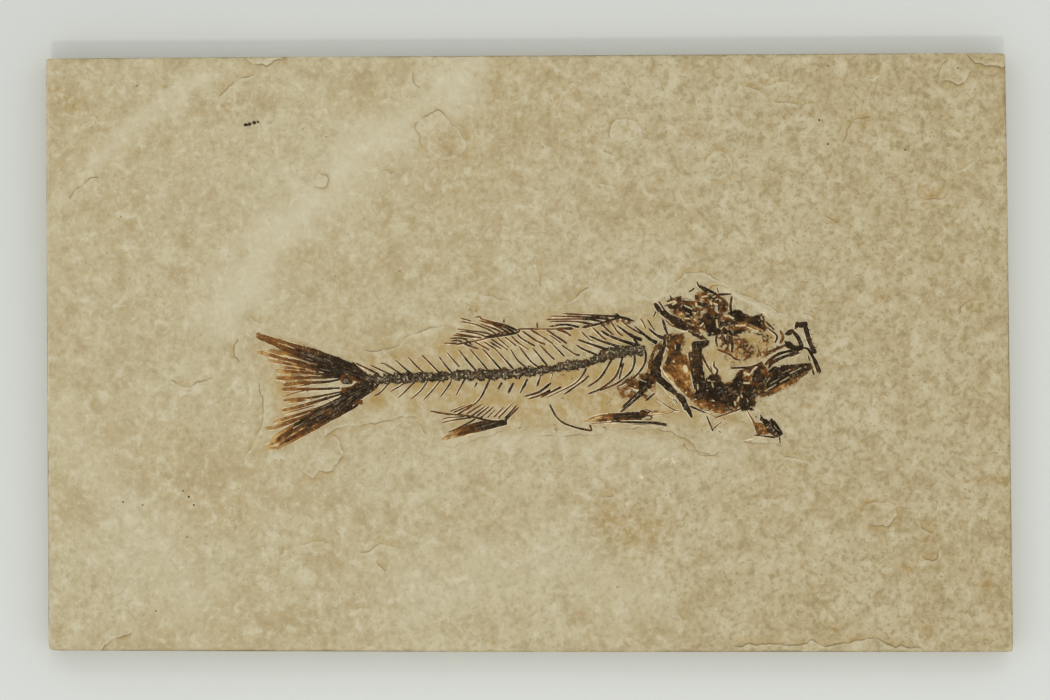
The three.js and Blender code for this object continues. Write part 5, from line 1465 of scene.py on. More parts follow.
# Fine marks on top of the plates: half width, amber share or PALE for bare stone and pale spots, and the
# points. The small pale spots are painted highlight.
STROKES = {
    "pectoral_girdle": [
        (0.6, 0.1, (618, 383), (642, 390)), (0.5, 0.2, (622, 388), (646, 396)),
        (0.6, 0.15, (626, 379), (640, 383)),
        (0.5, 0.1, (644, 372.5), (656, 378)), (0.5, PALE, (628, 387), (636, 389.5)),
        (0.5, PALE, (640, 379.5), (646, 382)),
        (0.6, PALE, (634, 395), (640, 397.5)), (0.6, PALE, (649, 391), (653, 394)),
    ],
    "skull_roof_rear": [
        (0.9, PALE, (667, 303.5), (675, 301)), (0.9, PALE, (673, 304.5), (676, 302.5)),
        (0.6, PALE, (684.5, 305.5), (692, 309)),
        (0.9, PALE, (681, 313.5), (681.5, 314.5)), (0.6, PALE, (685, 318.5), (689, 318.5)),
        (1, PALE, (696, 303.5), (696.5, 306)),
        (0.9, PALE, (695, 313), (699, 316)), (1.1, PALE, (701, 310.5), (707, 315)),
        (0.6, PALE, (694, 319), (698, 322)),
        (0.7, PALE, (700.5, 325.5), (702, 325)), (0.6, PALE, (693, 324.5), (694, 325.5)),
        (0.7, PALE, (700, 330), (702, 333)),
        (0.7, 0.05, (680.5, 301), (688, 301.5)), (0.6, 0.05, (684, 307.5), (696, 312)),
        (0.6, 0.1, (671, 306), (676, 309)),
        (0.5, PALE, (686, 313), (689, 314)),
    ],
    "skull_crest": [
        (0.7, PALE, (702, 297), (707, 296)), (1, PALE, (710.5, 302), (711.5, 304)),
        (0.9, PALE, (714, 303.5), (717, 304.5)),
        (0.6, PALE, (708, 294), (710, 293.5)), (0.6, PALE, (725, 298.5), (728, 299)),
        (0.6, PALE, (713, 297), (715, 296)),
        (0.5, PALE, (716, 299.5), (718, 299)), (0.7, PALE, (728.5, 307.5), (729, 309)),
        (0.6, PALE, (701, 299), (704, 300)),
        (0.6, PALE, (719.5, 299.5), (721, 301)), (0.7, 0.1, (719, 304.5), (718.5, 311), (722, 313.5)),
        (0.5, 0.15, (694.5, 295), (696, 299.5)),
    ],
    "braincase": [
        (0.8, PALE, (716.5, 320), (717.5, 327.5)), (0.8, PALE, (700.5, 326), (703, 323.5)),
        (0.6, PALE, (721, 329), (724, 325.5), (728, 329.5)),
        (0.6, PALE, (697, 331.5), (701, 335)), (0.7, PALE, (701, 329.5), (704, 332)),
        (0.6, PALE, (712, 333), (713, 333.5)),
        (0.6, PALE, (715, 310), (718, 312.5)), (0.6, PALE, (721, 333), (722, 332)),
        (0.8, 0.4, (723, 328.5), (725, 328.5)),
        (0.6, 0.1, (699, 319), (703, 320)),
    ],
    "frontal": [
        (0.9, PALE, (729, 316), (733, 318.5)), (0.9, PALE, (736, 325.5), (745, 325.5)),
        (0.9, PALE, (717.5, 315), (727, 316)),
        (0.6, PALE, (761, 317), (762, 319)), (0.5, PALE, (765, 323), (768, 327)),
        (0.7, PALE, (747, 327), (758, 331.5)),
        (0.5, 0.5, (728, 319.5), (734, 321)),
    ],
    "orbit_roof": [
        (0.6, 0.2, (753, 343), (757, 341.5), (752, 349.5)), (0.5, 0.25, (740, 338), (741, 344), (739, 350)),
        (0.5, 0.3, (746, 339), (748, 346), (745, 354)), (0.5, 0.35, (735, 343), (741, 356)),
        (0.5, 0.3, (752, 352), (744, 360)),
        (0.6, 0.35, (733, 340), (742, 339)), (0.8, PALE, (757, 341), (757.5, 341.5)),
        (0.7, PALE, (768.5, 347.5), (769.5, 348.5)),
        (0.7, PALE, (730, 349), (731, 350)),
        (0.6, PALE, (764, 338), (766, 339.5)), (0.5, PALE, (751, 332.5), (755, 335)),
        (0.7, 0.35, (736, 346), (741, 348)),
        (0.6, 0.3, (744, 341), (750, 344)), (0.6, 0.35, (738, 356), (746, 352), (752, 346)),
        (0.5, 0.25, (758, 347), (762, 358)),
    ],
    "hyomandibular": [
        (0.7, PALE, (666, 340), (666.5, 343)), (0.5, PALE, (665.5, 337), (667, 336)),
        (0.8, PALE, (666, 347.5), (668, 350)),
        (0.5, PALE, (675, 345), (675.5, 349)), (0.5, PALE, (666.5, 345), (667, 344)),
    ],
    "opercle": [
        (2.3, PALE, (685, 367), (686, 370.5)), (0.9, PALE, (673.5, 361), (674, 362)),
        (0.7, PALE, (682.5, 393), (683, 393.5)),
        (0.8, PALE, (686, 392.5), (686.5, 393)), (0.7, PALE, (693.5, 387), (693.5, 387.5)),
        (0.9, PALE, (671, 380), (673, 383)),
        (0.6, 0.3, (688, 386), (687.5, 399)), (0.8, 0.35, (677, 379.5), (679, 383)),
        (0.5, 0.5, (668, 372), (674, 377), (676, 384)),
    ],
    "preopercle": [
        (0.5, 0.4, (691.5, 345), (693, 360)), (0.5, 0.35, (696.5, 356), (699, 382)),
        (0.6, 0.4, (696.5, 376), (697.5, 384)),
        (0.6, PALE, (697.5, 384.5), (698, 389.5)), (0.6, PALE, (691, 358), (691.5, 359.5)),
    ],
    "jaw_joint": [
        (1.1, PALE, (744.5, 373), (749, 374.5)), (0.9, PALE, (744, 383), (749, 383)),
        (0.8, PALE, (750.5, 374), (753, 370), (756.5, 367)),
        (0.8, PALE, (708, 380.5), (709.5, 380.5)), (0.6, PALE, (711, 381.5), (714.5, 381.5)),
        (0.8, PALE, (712, 383.5), (713, 387)),
        (0.7, PALE, (706, 384.5), (706.5, 384.5)), (0.7, PALE, (707, 390.5), (707.5, 390)),
        (0.7, PALE, (695.5, 399), (696, 399.5)),
        (0.9, PALE, (738.5, 397), (737.5, 401)), (0.9, PALE, (734.5, 402), (735.5, 405)),
        (0.7, PALE, (741, 395), (742, 397)),
        (0.5, PALE, (747, 399), (748, 401.5)), (0.6, PALE, (759, 390), (760, 389)),
        (0.5, PALE, (764, 385), (765, 387)),
        (0.7, PALE, (712, 400.5), (714, 401)), (0.5, PALE, (700, 404), (702, 404.5)),
        (0.5, 0.3, (706, 405), (714, 407)),
    ],
    "lower_jaw": [
        (0.6, PALE, (780, 382), (789, 377)), (0.5, PALE, (790, 373.5), (801, 368)),
        (0.5, PALE, (765, 391), (776, 384.5)),
        (0.6, PALE, (767, 382), (769.5, 378)), (0.4, PALE, (782, 373), (790, 369.5)),
        (0.4, PALE, (770, 384), (778, 379.5)),
        (0.6, PALE, (805, 367.5), (806, 366.5)), (0.7, PALE, (777.5, 366.5), (780, 366.5)),
        (0.5, 0.3, (784, 368), (796, 366)),
    ],
}
# Bright lines of stone along the larger bones, partly scraped by the needle and partly painted highlight.
SCRAPES = [
    (1.1, (666, 350), (660.5, 362), (660.5, 367), (674, 385.5), (690, 400)), (0.8, (702.5, 354), (706, 368)),
    (1.2, (706.5, 372), (708.5, 377)), (0.9, (713, 367.5), (715, 373.5)), (0.9, (779, 354.5), (791, 352)),
    (0.7, (812.5, 351), (815.5, 357.5)), (0.8, (811, 362), (817, 373)), (0.9, (803, 346), (808, 347.5)),
    (0.8, (684, 402), (688, 406), (690.5, 405)),
    (0.9, (673, 400), (674.5, 403.5), (677.5, 404.5), (679, 401)),
    (0.9, (665, 305), (672, 312), (677, 314)),
    (0.8, (718, 283), (726, 285), (731, 291)), (0.8, (733, 296), (732.5, 308)),
    (0.9, (758, 312), (764, 313), (771, 321)),
    (0.8, (767, 364), (775, 357)), (0.9, (671, 322), (677, 330), (685, 332)), (0.9, (742, 441), (758, 438)),
    (0.8, (663, 388), (670, 396), (676, 399)),
]


SURFACE_STEP = 0.2
SURFACE_CORNER = (-91.0, -34.0)
SURFACE = {}


def surface_at(points):
    """Height of the stone under rows of x and y in millimetres, read from a fine grid round the fish."""
    points = np.asarray(points, dtype=float)
    if "grid" not in SURFACE:
        x, y = (np.arange(count) * SURFACE_STEP + low for count, low in zip((921, 311), SURFACE_CORNER))
        SURFACE["grid"] = stone_height(*np.meshgrid(x, y, indexing="ij"))
    grid = SURFACE["grid"]
    u = (points[:, 0] - SURFACE_CORNER[0]) / SURFACE_STEP
    v = (points[:, 1] - SURFACE_CORNER[1]) / SURFACE_STEP
    i = np.clip(u.astype(int), 0, grid.shape[0] - 2)
    j = np.clip(v.astype(int), 0, grid.shape[1] - 2)
    f, g = np.clip(u - i, 0.0, 1.0), np.clip(v - j, 0.0, 1.0)
    low = grid[i, j] * (1.0 - f) + grid[i + 1, j] * f
    high = grid[i, j + 1] * (1.0 - f) + grid[i + 1, j + 1] * f
    away = (np.abs(u - i - 0.5) > 0.6) | (np.abs(v - j - 0.5) > 0.6)
    height = low * (1.0 - g) + high * g
    if away.any():
        height[away] = stone_height(points[away, 0], points[away, 1])
    return height


SLOTS = {"amber_bone": ("pelvic_fin", "opercle"),
         "brown_bone": ("second_dorsal_fin", "pelvic_girdle", "pectoral_girdle", "preopercle", "skull_crest",
                        "orbit_rim", "nasal_bone", "gill_splint")}
FINISHES = {}
TINTS = {"dark_bone": 0.0, "brown_bone": 0.02, "amber_bone": 0.04}


class Patch:
    """A fine grid over part of the face on which crushed bone is laid up as height and colour."""

    def __init__(self, corners, step):
        low, high = corners.min(axis=0) - PATCH_MARGIN, corners.max(axis=0) + PATCH_MARGIN
        self.step = step
        self.x, self.y = np.meshgrid(np.arange(low[0], high[0], step), np.arange(low[1], high[1], step),
                                     indexing="ij")
        self.inside = np.full(self.x.shape, -9.0)
        self.rise = np.zeros(self.x.shape)
        self.amber = np.zeros(self.x.shape)
        # Share of painted highlight on the bone.
        self.glint_paint = np.zeros(self.x.shape)
        self.bare = np.zeros(self.x.shape)
        self.ragged = (0.13 * drift(self.x, self.y, 1.1, 71) + 0.11 * drift(self.x, self.y, 0.5, 72)
                       + 0.05 * drift(self.x, self.y, 0.24, 73))

    def share_field(self, amber):
        """An amber share that runs from one value and mark to another, or the single share as it is."""
        if not isinstance(amber, tuple):
            return amber
        start, end, *marks = amber
        (ax, ay), (bx, by) = places(marks)
        run = ((self.x - ax) * (bx - ax) + (self.y - ay) * (by - ay)) / ((bx - ax) ** 2 + (by - ay) ** 2)
        return start + (end - start) * ease(run + 0.12 * drift(self.x, self.y, 1.6, 89), 0.0, 1.0)

    def streak_field(self, angle):
        """Streaks along one direction, or out from a hub, and the distance from the hub."""
        if not isinstance(angle, tuple):
            streaks = 0.6 * grain_field(self.x, self.y, angle, 0.42, 5.0, 74) + 0.5 * grain_field(
                self.x, self.y, angle + 14.0, 0.8, 3.0, 86)
            return streaks, None
        hub = at(*angle)
        turn = np.arctan2(self.y - hub[1], self.x - hub[0])
        reach = np.hypot(self.x - hub[0], self.y - hub[1])
        streaks = 1.1 * drift(reach / 12.0, turn * 22.0, 0.52, 74)
        return streaks + 0.4 * drift(reach / 6.0, turn * 22.0, 0.25, 86), reach

    def lay(self, depth, height, amber, angle, ragged=1.0, crown=0.28, blush=0.30):
        """Lays a bone whose edge is where depth is zero; films are torn, and fans have gaps between rays."""
        film = height < FILM_HEIGHT
        amber = self.share_field(amber)
        depth = depth + self.ragged * (1.8 if film else 1.25 * ragged)
        streaks, reach = self.streak_field(angle)
        fan = reach is not None
        lumps = drift(self.x, self.y, 0.9, 75)
        pits = drift(self.x, self.y, 0.42, 76)
        clouds = drift(self.x, self.y, 2.3, 84)
        if film:
            depth = np.minimum(depth, 0.30 + 0.5 * clouds + 0.45 * lumps)
        body = height * (1.0 - np.exp(-np.maximum(depth, 0.0) / crown))
        body = body * (0.80 + (0.34 if fan else 0.16) * streaks + 0.14 * lumps + 0.10 * pits)
        crack = np.abs(drift(self.x, self.y, 1.7, 77) + 0.3 * streaks)
        body = body * (1.0 - 0.45 * (1.0 - ease(crack, 0.02, 0.09)) * (height > 0.4))
        mine = (depth > 0.0) & (body > 0.30 * self.rise)
        self.rise = np.where(mine, np.maximum(body, 0.55 * self.rise), self.rise)
        thin = 0.34 * (1.0 - ease(depth, 0.0, 0.6))
        warm = blush * ease(clouds + 0.5 * lumps, 0.15, 0.75) * np.where(np.asarray(amber) < 0.3, 1.0, -1.3)
        level = amber + thin + warm + 0.24 * lumps + 0.12 * pits - (0.30 if fan else 0.18) * streaks
        self.amber = np.where(mine, level, self.amber)
        # Painted highlight: bright glints along the streaks; on fans only over the dark bone.
        if fan:
            glints = ease(streaks, 0.30, 0.80) * (1.0 - ease(np.asarray(amber), 0.15, 0.55))
        else:
            glints = ease(streaks + 0.6 * pits + 0.3 * clouds, 0.35, 1.0)
        self.glint_paint = np.where(mine, glints, self.glint_paint)
        fade = 0.6 * (1.0 - ease(depth, 0.0, 0.30)) if film else 0.0 * depth
        if fan:
            gaps = ease(-streaks, 0.45, 0.75) * ease(reach, 15.0, 27.0)
            fade = np.maximum(fade, 0.95 * gaps + 0.30 * ease(np.asarray(amber), 0.8, 1.0))
        self.bare = np.where(mine, fade, self.bare)
        self.inside = np.maximum(self.inside, depth)

    def soften(self):
        """Lets the colours of neighbouring bones run into one another."""
        for _ in range(4):
            for axis in (0, 1):
                beside = np.roll(self.amber, 1, axis) + np.roll(self.amber, -1, axis)
                self.amber = 0.5 * self.amber + 0.25 * beside

    def crumble(self, amount):
        """Lets slivers of stone show through bone that is broken up."""
        slivers = drift(self.x, self.y, 1.0, 87) + 0.7 * drift(self.x, self.y, 0.5, 88) - 1.25 + amount
        self.inside = np.minimum(self.inside, -0.45 * slivers)
        self.bare = np.maximum(self.bare, 0.8 * ease(slivers, -0.22, 0.0))

    def open(self, depth):
        """Lets the stone show where depth is above zero."""
        self.inside = np.minimum(self.inside, -(depth + 0.5 * self.ragged))

    def shell(self, heap):
        """Adds the patch to the heap as a closed shell that is sunk in the stone."""
        grid = np.arange(self.x.size).reshape(self.x.shape)
        on = self.inside > 0.0
        cell = on[:-1, :-1] | on[1:, :-1] | on[:-1, 1:] | on[1:, 1:]
        if not cell.any():
            return
        gx, gy = np.gradient(self.inside, self.step)
        length = np.maximum(np.hypot(gx, gy), 0.35)
        pull = np.where(on, 0.0, np.clip(-self.inside / length, 0.0, 0.85 * self.step))
        px = self.x + pull * gx / length
        py = self.y + pull * gy / length
        corners = np.stack([grid[:-1, :-1][cell], grid[1:, :-1][cell], grid[1:, 1:][cell],
                            grid[:-1, 1:][cell]], axis=1)
        used = np.unique(corners)
        number = np.full(self.x.size, -1)
        number[used] = np.arange(len(used))
        quads = number[corners]
        flat = np.stack([px.ravel()[used], py.ravel()[used]], axis=1)
        stone = surface_at(flat)
        rise = np.where(on.ravel()[used], self.rise.ravel()[used], 0.0)
        top = np.column_stack([flat, stone + SHELL_LIFT + rise])
        low = np.column_stack([flat, stone - SHELL_DEPTH])
        paint = np.column_stack([self.amber.ravel()[used], self.glint_paint.ravel()[used], self.bare.ravel()[used],
                                 np.full(len(used), 0.14)])
        total = len(used)
        edges = np.concatenate([quads[:, [0, 1]], quads[:, [1, 2]], quads[:, [2, 3]], quads[:, [3, 0]]])
        known = set(map(tuple, edges.tolist()))
        rim = [edge for edge in known if (edge[1], edge[0]) not in known]
        faces = quads.tolist()
        faces += [(a + total, d + total, c + total, b + total) for a, b, c, d in quads.tolist()]
        faces += [(b, a, a + total, b + total) for a, b in rim]
        heap.add(np.vstack([top, low]), faces, np.vstack([paint, paint]))


def lay_plates(node, patch):
    """Plates of one node."""
    for height, amber, angle, *outline in PLATES.get(node, ()):
        patch.lay(ring_distance(patch.x, patch.y, places(outline)), height, amber, angle)


def lay_strokes(node, patch):
    """Fine dark, brown or bare marks on the plates of one node."""
    for half, amber, *line in STROKES.get(node, ()):
        gap, _, _ = chain_distance(patch.x, patch.y, places(line), spread=2.0)
        core = ease(half * PIXEL - gap + 0.35 * patch.ragged, -0.05, 0.09)
        if amber == PALE:
            patch.bare = np.maximum(patch.bare, 1.25 * core)
            patch.rise = patch.rise * (1.0 - 0.6 * core)
        else:
            patch.amber = patch.amber + (amber - patch.amber) * core
            patch.bare = patch.bare * (1.0 - core)
            patch.rise = patch.rise * (1.0 + 0.25 * core)


def open_windows(node, patch):
    """Cuts bare stone out of the plates of one node along its windows."""
    for half, *line in WINDOWS.get(node, ()):
        gap, _, _ = chain_distance(patch.x, patch.y, places(line), spread=3.0)
        patch.open(half * PIXEL - gap)


def lay_backbone(node, patch):
    """The crushed run of vertebrae: rims that stand up, waists between them and torn edges."""
    rows = np.array(BACKBONE[node])
    line = places(rows[:, :2])
    gap, _, _ = chain_distance(patch.x, patch.y, line, rows[:, 2] * PIXEL, spread=5.0)
    rims = (np.array(RIMS[node]) - MIDDLE_X) * PIXEL
    lean = patch.x + 0.12 * (patch.y - line[:, 1].mean())
    beat = np.min(np.abs(lean[..., None] - rims), axis=-1)
    pitch = np.diff(rims).mean()
    bulge = 1.0 - 4.0 * np.clip(beat / pitch, 0.0, 0.5)
    spikes = 1.0 - 2.4 * np.abs(drift(patch.x + 0.5 * patch.y, patch.y, 1.15, 78))
    teeth = 0.30 * spikes + 0.30 * drift(patch.x, patch.y, 0.42, 79)
    depth = -gap + 0.22 * bulge - 0.12 + teeth
    patch.lay(depth, 1.15, 0.04, 8, 0.6, 0.42, 0.06)
    inside = depth > 0.0
    rim = 1.0 - ease(beat, 0.06, 0.34)
    strut = ease(drift(patch.x / 2.4, patch.y, 0.40, 80), 0.10, 0.6)
    high = ease(depth, 0.1, 0.8)
    patch.rise = np.where(inside, patch.rise * (0.70 + 0.40 * rim + 0.24 * strut), patch.rise)
    # Painted highlight: shine on the rims and struts, and bright specks laid in the bare channel.
    shine = high * np.clip(0.25 + 0.70 * strut + 0.70 * rim * ease(teeth, -0.25, 0.25), 0.0, 1.0)
    patch.glint_paint = np.where(inside, shine, patch.glint_paint)
    glints = ease(drift(patch.x, patch.y, 0.55, 90) + 0.5 * drift(patch.x, patch.y, 0.3, 93), 0.62, 0.95)
    bare = high * np.maximum(0.75 * rim * ease(teeth, 0.15, 0.40), 0.9 * glints)
    patch.bare = np.where(inside, bare, patch.bare)


def bar_chains(rows):
    """Points, edges and values of a set of bars, ready for the sweep."""
    points, edges, half, amber = [], [], [], []
    for width_a, width_b, amber_a, amber_b, *marks in rows:
        chain = walk(smooth_chain(places(marks), 6), 0.4)
        run = np.concatenate([[0.0], np.cumsum(np.hypot(*np.diff(chain, axis=0).T))])
        share = run / run[-1]
        width = (width_a + (width_b - width_a) * share) * 0.5 * PIXEL
        width = width * (1.0 + 0.22 * drift(chain[:, 0], chain[:, 1], 1.3, 94))
        reach = min(0.4 + 1.7 * width[0], 1.2)
        tip = ease(run, -0.3 * reach, reach) * ease(run[-1] - run, -0.30, 0.35)
        width = width * (0.15 + 0.85 * tip)
        worn = 0.22 * drift(chain[:, 0], chain[:, 1], 2.6, 95)
        thin = (0.10 + 0.26 * ease(-width, -0.42, -0.14) + worn) * (amber_a < 0.5)
        stone = surface_at(chain)
        first = len(points)
        for k, (x, y) in enumerate(chain):
            points.append((x, y, stone[k] + 0.10 * width[k]))
            half.append(width[k] * MM)
            amber.append(amber_a + (amber_b - amber_a) * share[k] ** 1.3 + thin[k])
            if k:
                edges.append((first + k - 1, first + k))
    return points, edges, half, amber


def add_bars(heap, name, rows, tree):
    """Sweeps the bars of one node and adds them to the heap."""
    points, edges, half, amber = bar_chains(rows)
    made = grow(name + "_bars", tree, points, edges, {"half_width": half, "amber": amber})
    level = read_layer(made, "amber")
    place = np.empty(len(made.vertices) * 3)
    made.vertices.foreach_get("co", place)
    place = place.reshape(-1, 3) / MM
    # Painted highlight: grey glints from fine noise, only on the raised tops of the bars.
    glint_noise = drift(place[:, 0], place[:, 1], 0.32, 81) + 0.5 * drift(place[:, 0], place[:, 1], 0.7, 82)
    glint_paint = ease(glint_noise, 0.35, 1.0)
    bare = 0.34 * ease(level, 0.85, 1.15)
    lift = np.clip((place[:, 2] - surface_at(place)) / 0.30, 0.0, 1.0)
    level = level + 0.12 * drift(place[:, 0], place[:, 1], 1.6, 83) + 0.26 * (1.0 - lift) - 0.06
    heap.add_mesh(made, np.column_stack([level, 0.8 * glint_paint * lift, bare, 0.15 + 0.0 * glint_paint]))
    bpy.data.meshes.remove(made)


# Rims of pale stone beside the bones in millimetres: half width and distance from the bone, on its side
# towards the tail, which faces the lamps, and on its side towards the head, then half width and distance
# together for plates.
# They are partly freshly scraped stone and partly painted highlight, so the rim on the lit side is the wider.
LIT_SIDE_RIM = (0.22, 0.12)
FAR_SIDE_RIM = (0.15, 0.06)
PLATE_RIM = 0.18


def scraped_and_lit_rim_rows(node):
    """Lines of freshly scraped stone that stand up beside the bones of one node."""
    rows = []
    for width_a, width_b, _, _, *marks in BARS.get(node, ()):
        chain = walk(smooth_chain(places(marks), 6), 0.7)
        run = np.gradient(chain, axis=0)
        across = np.stack([-run[:, 1], run[:, 0]], axis=1) / np.maximum(np.hypot(*run.T), 1e-6)[:, None]
        # Turn the first side to the left and front, where the lamps stand; that side gets the wider rim.
        if across[:, 0].mean() + 0.4 * across[:, 1].mean() > 0.0:
            across = -across
        share = np.linspace(0.0, 1.0, len(chain))[:, None]
        half = (width_a + (width_b - width_a) * share) * 0.5 * PIXEL
        for toward, (thick, gap) in ((1.0, LIT_SIDE_RIM), (-1.0, FAR_SIDE_RIM)):
            rows.append((thick, chain + toward * across * (half + gap)))
    for height, _, _, *outline in PLATES.get(node, ()):
        if height >= 0.45 and node not in STROKES:
            ring = walk(places(outline + outline[:1]), 0.8)
            centre = ring.mean(axis=0)
            away = ring - centre
            rows.append((PLATE_RIM, ring + PLATE_RIM * away / np.maximum(np.hypot(*away.T), 1e-6)[:, None]))
    return rows


def scraped_and_lit_look(look):
    """The scraped finish, made the first time that it is wanted."""
    if "scraped" not in FINISHES:
        FINISHES["scraped"] = scraped_and_lit_finish(look)
    return FINISHES["scraped"]


def build_scraped_and_lit_rims(look):
    """Pale rims of scraped stone beside every bone, as one piece."""
    finish = scraped_and_lit_look(look)
    tree = bone_tree(finish)
    tree.name = "scraped_rim"
    points, edges, half = [], [], []
    scrapes = [(half * PIXEL, walk(smooth_chain(places(line), 6), 0.6)) for half, *line in SCRAPES]
    for rows in [scraped_and_lit_rim_rows(node) for node in sorted(set(BARS) | set(PLATES))] + [scrapes]:
        for width, chain in rows:
            stone = surface_at(chain)
            worn = 0.45 + 0.55 * ease(drift(chain[:, 0], chain[:, 1], 2.4, 85), -0.5, 0.3)
            first = len(points)
            for k, (x, y) in enumerate(chain):
                end = 0.3 if k in (0, len(chain) - 1) else 1.0
                points.append((x, y, stone[k] + 0.03))
                half.append(width * worn[k] * end * MM)
                if k:
                    edges.append((first + k - 1, first + k))
    made = grow("scraped_rims", tree, points, edges, {"half_width": half},
                {"Flatness": 0.5, "Sides": 6, "Spacing": 0.45 * MM, "Roughness": 0.05 * MM})
    heap = Heap()
    heap.add_mesh(made, np.tile([0.8, 0.0, 0.0, 0.0], (len(made.vertices), 1)))
    new_piece("scraped_rims", heap.mesh("scraped_rims", "marks"), finish)


def build_bone(node, finish, tree, sizes):
    """One bone of the fish: its bars swept, its plates laid up and both made one closed piece set."""
    heap = Heap()
    if node in BARS:
        add_bars(heap, node, BARS[node], tree)
    marks = [point for row in PLATES.get(node, ()) for point in row[3:]]
    marks += [row[:2] for row in BACKBONE.get(node, ())]
    if marks:
        patch = Patch(places(marks), sizes.patch_spacing)
        if node in BACKBONE:
            lay_backbone(node, patch)
        lay_plates(node, patch)
        patch.soften()
        if node in BROKEN:
            patch.crumble(BROKEN[node])
        lay_strokes(node, patch)
        open_windows(node, patch)
        patch.shell(heap)
    return new_piece("bone_" + node, heap.mesh("bone_" + node), finish, [node])


def bone_look(node, look):
    """Finish, sweep tree and slot of a node, made the first time that they are wanted."""
    slot_name = next((name for name, nodes in SLOTS.items() if node in nodes), "dark_bone")
    if slot_name not in FINISHES:
        finish = bone_finish(slot_name, look, TINTS[slot_name])
        FINISHES[slot_name] = (finish, bone_tree(finish))
    finish, tree = FINISHES[slot_name]
    return finish, slot_name, tree


def build_bones(nodes, look, sizes):
    """Every bone of the nodes given."""
    for node in nodes:
        finish, slot_name, tree = bone_look(node, look)
        build_bone(node, finish, tree, sizes)


def bit_form():
    """A small broken bit with a few faces, for scattering."""
    chance = np.random.default_rng(91)
    points, faces = [], []
    rings = ((-0.75, 0.55), (-0.1, 1.0), (0.6, 0.62))
    for level, (z, wide) in enumerate(rings):
        for k in range(6):
            turn = (k + 0.5 * level) * math.pi / 3
            reach = wide * chance.uniform(0.7, 1.15)
            points.append((reach * math.cos(turn), reach * math.sin(turn), z * chance.uniform(0.8, 1.2)))
    for level in range(2):
        for k in range(6):
            a, b = level * 6 + k, level * 6 + (k + 1) % 6
            faces.append((a, b, b + 6, a + 6))
    faces.append(tuple(range(5, -1, -1)))
    faces.append(tuple(range(12, 18)))
    mesh = bpy.data.meshes.new("broken_bit")
    mesh.from_pydata(points, [], faces)
    mesh.update()
    form = bpy.data.objects.new("broken_bit", mesh)
    bpy.context.scene.collection.objects.link(form)
    return form


def scatter_marks(name, table, form, finish, slot_name, chance):
    """Small bits of one kind at the marks of a table, pressed into the stone."""
    points, half = [], []
    chip = slot_name == "limestone"
    for size, *marks in table:
        for mark in marks:
            for _ in range(7 if chip else 1):
                shift = chance.normal(0.0, 0.32 * size * PIXEL * chip, 2)
                points.append(np.array(at(*mark)) + shift)
                half.append(size * PIXEL * (0.3 if chip else 0.5) * chance.uniform(0.75, 1.1) * MM)
    points = np.array(points)
    sunk = np.column_stack([points, surface_at(points) - (np.array(half) / MM * 0.45 if chip else 0.06)])
    made = grow(name, scatter_tree(finish, form), sunk, [], {"half_width": half, "amber": [0.15] * len(half)},
                {"Seed": 8, "Tilt": 0.15 if chip else 0.5})
    heap = Heap()
    level = read_layer(made, "amber")
    # Second channel: a faint painted highlight on the grains; on the chips it is a faint stain.
    heap.add_mesh(made, np.column_stack([level, 0.2 + 0 * level, 0 * level, 0 * level]))
    new_piece(name, heap.mesh(name, "marks" if chip else "tone"), finish, smooth=False)


def build_crumbs(look):
    """Bits of bone that came loose round the skeleton, and dark grains and pale chips in the stone."""
    form = bit_form()
    chance = np.random.default_rng(92)
    finish, _, _ = bone_look("jaw_joint", look)
    points, half, amber = [], [], []
    for reach, count, size, share, *marks in CRUMBS:
        line = walk(places(marks), 0.4)
        for _ in range(count):
            x, y = line[chance.integers(len(line))] + chance.normal(0.0, 0.45 * reach * PIXEL, 2)
            points.append((x, y))
            half.append(size * PIXEL * 0.5 * chance.uniform(0.55, 1.25) * MM)
            amber.append(share + chance.normal(0.0, 0.12))
    points = np.array(points)
    stone = surface_at(points)
    made = grow("bone_crumbs", scatter_tree(finish, form), np.column_stack([points, stone + 0.03]), [],
                {"half_width": half, "amber": amber})
    heap = Heap()
    level = read_layer(made, "amber")
    # Second channel: a faint painted highlight on every crumb.
    heap.add_mesh(made, np.column_stack([level, 0.3 * np.ones_like(level), 0 * level, 0 * level]))
    new_piece("bone_crumbs", heap.mesh("bone_crumbs"), finish, smooth=False)
    for name, table, material, slot_name in (("mineral_grains", GRAINS, finish, "dark_bone"),
                                             ("pale_chips", CHIPS, scraped_and_lit_look(look), "limestone")):
        scatter_marks(name, table, form, material, slot_name, chance)
    bpy.data.objects.remove(form)


FLOOR_HALF = 3.0
FLOOR_STEPS = 24
FLOOR_HEIGHT = -0.00004
SENSOR_WIDTH = 36.0
FOCUS_HEIGHT = 0.0097


def add_floor(look):
    """The plain studio floor, made of squares."""
    row = FLOOR_STEPS + 1
    mesh = bpy.data.meshes.new("studio_floor")
    points = [(FLOOR_HALF * (2 * i / FLOOR_STEPS - 1), FLOOR_HALF * (2 * j / FLOOR_STEPS - 1), FLOOR_HEIGHT)
              for j in range(row) for i in range(row)]
    corners = [j * row + i for j in range(FLOOR_STEPS) for i in range(FLOOR_STEPS)]
    mesh.from_pydata(points, [], [(k, k + 1, k + row + 1, k + row) for k in corners])
    mesh.update()
    floor = bpy.data.objects.new("studio_floor", mesh)
    bpy.context.scene.collection.objects.link(floor)
    mesh.materials.append(floor_finish(look))


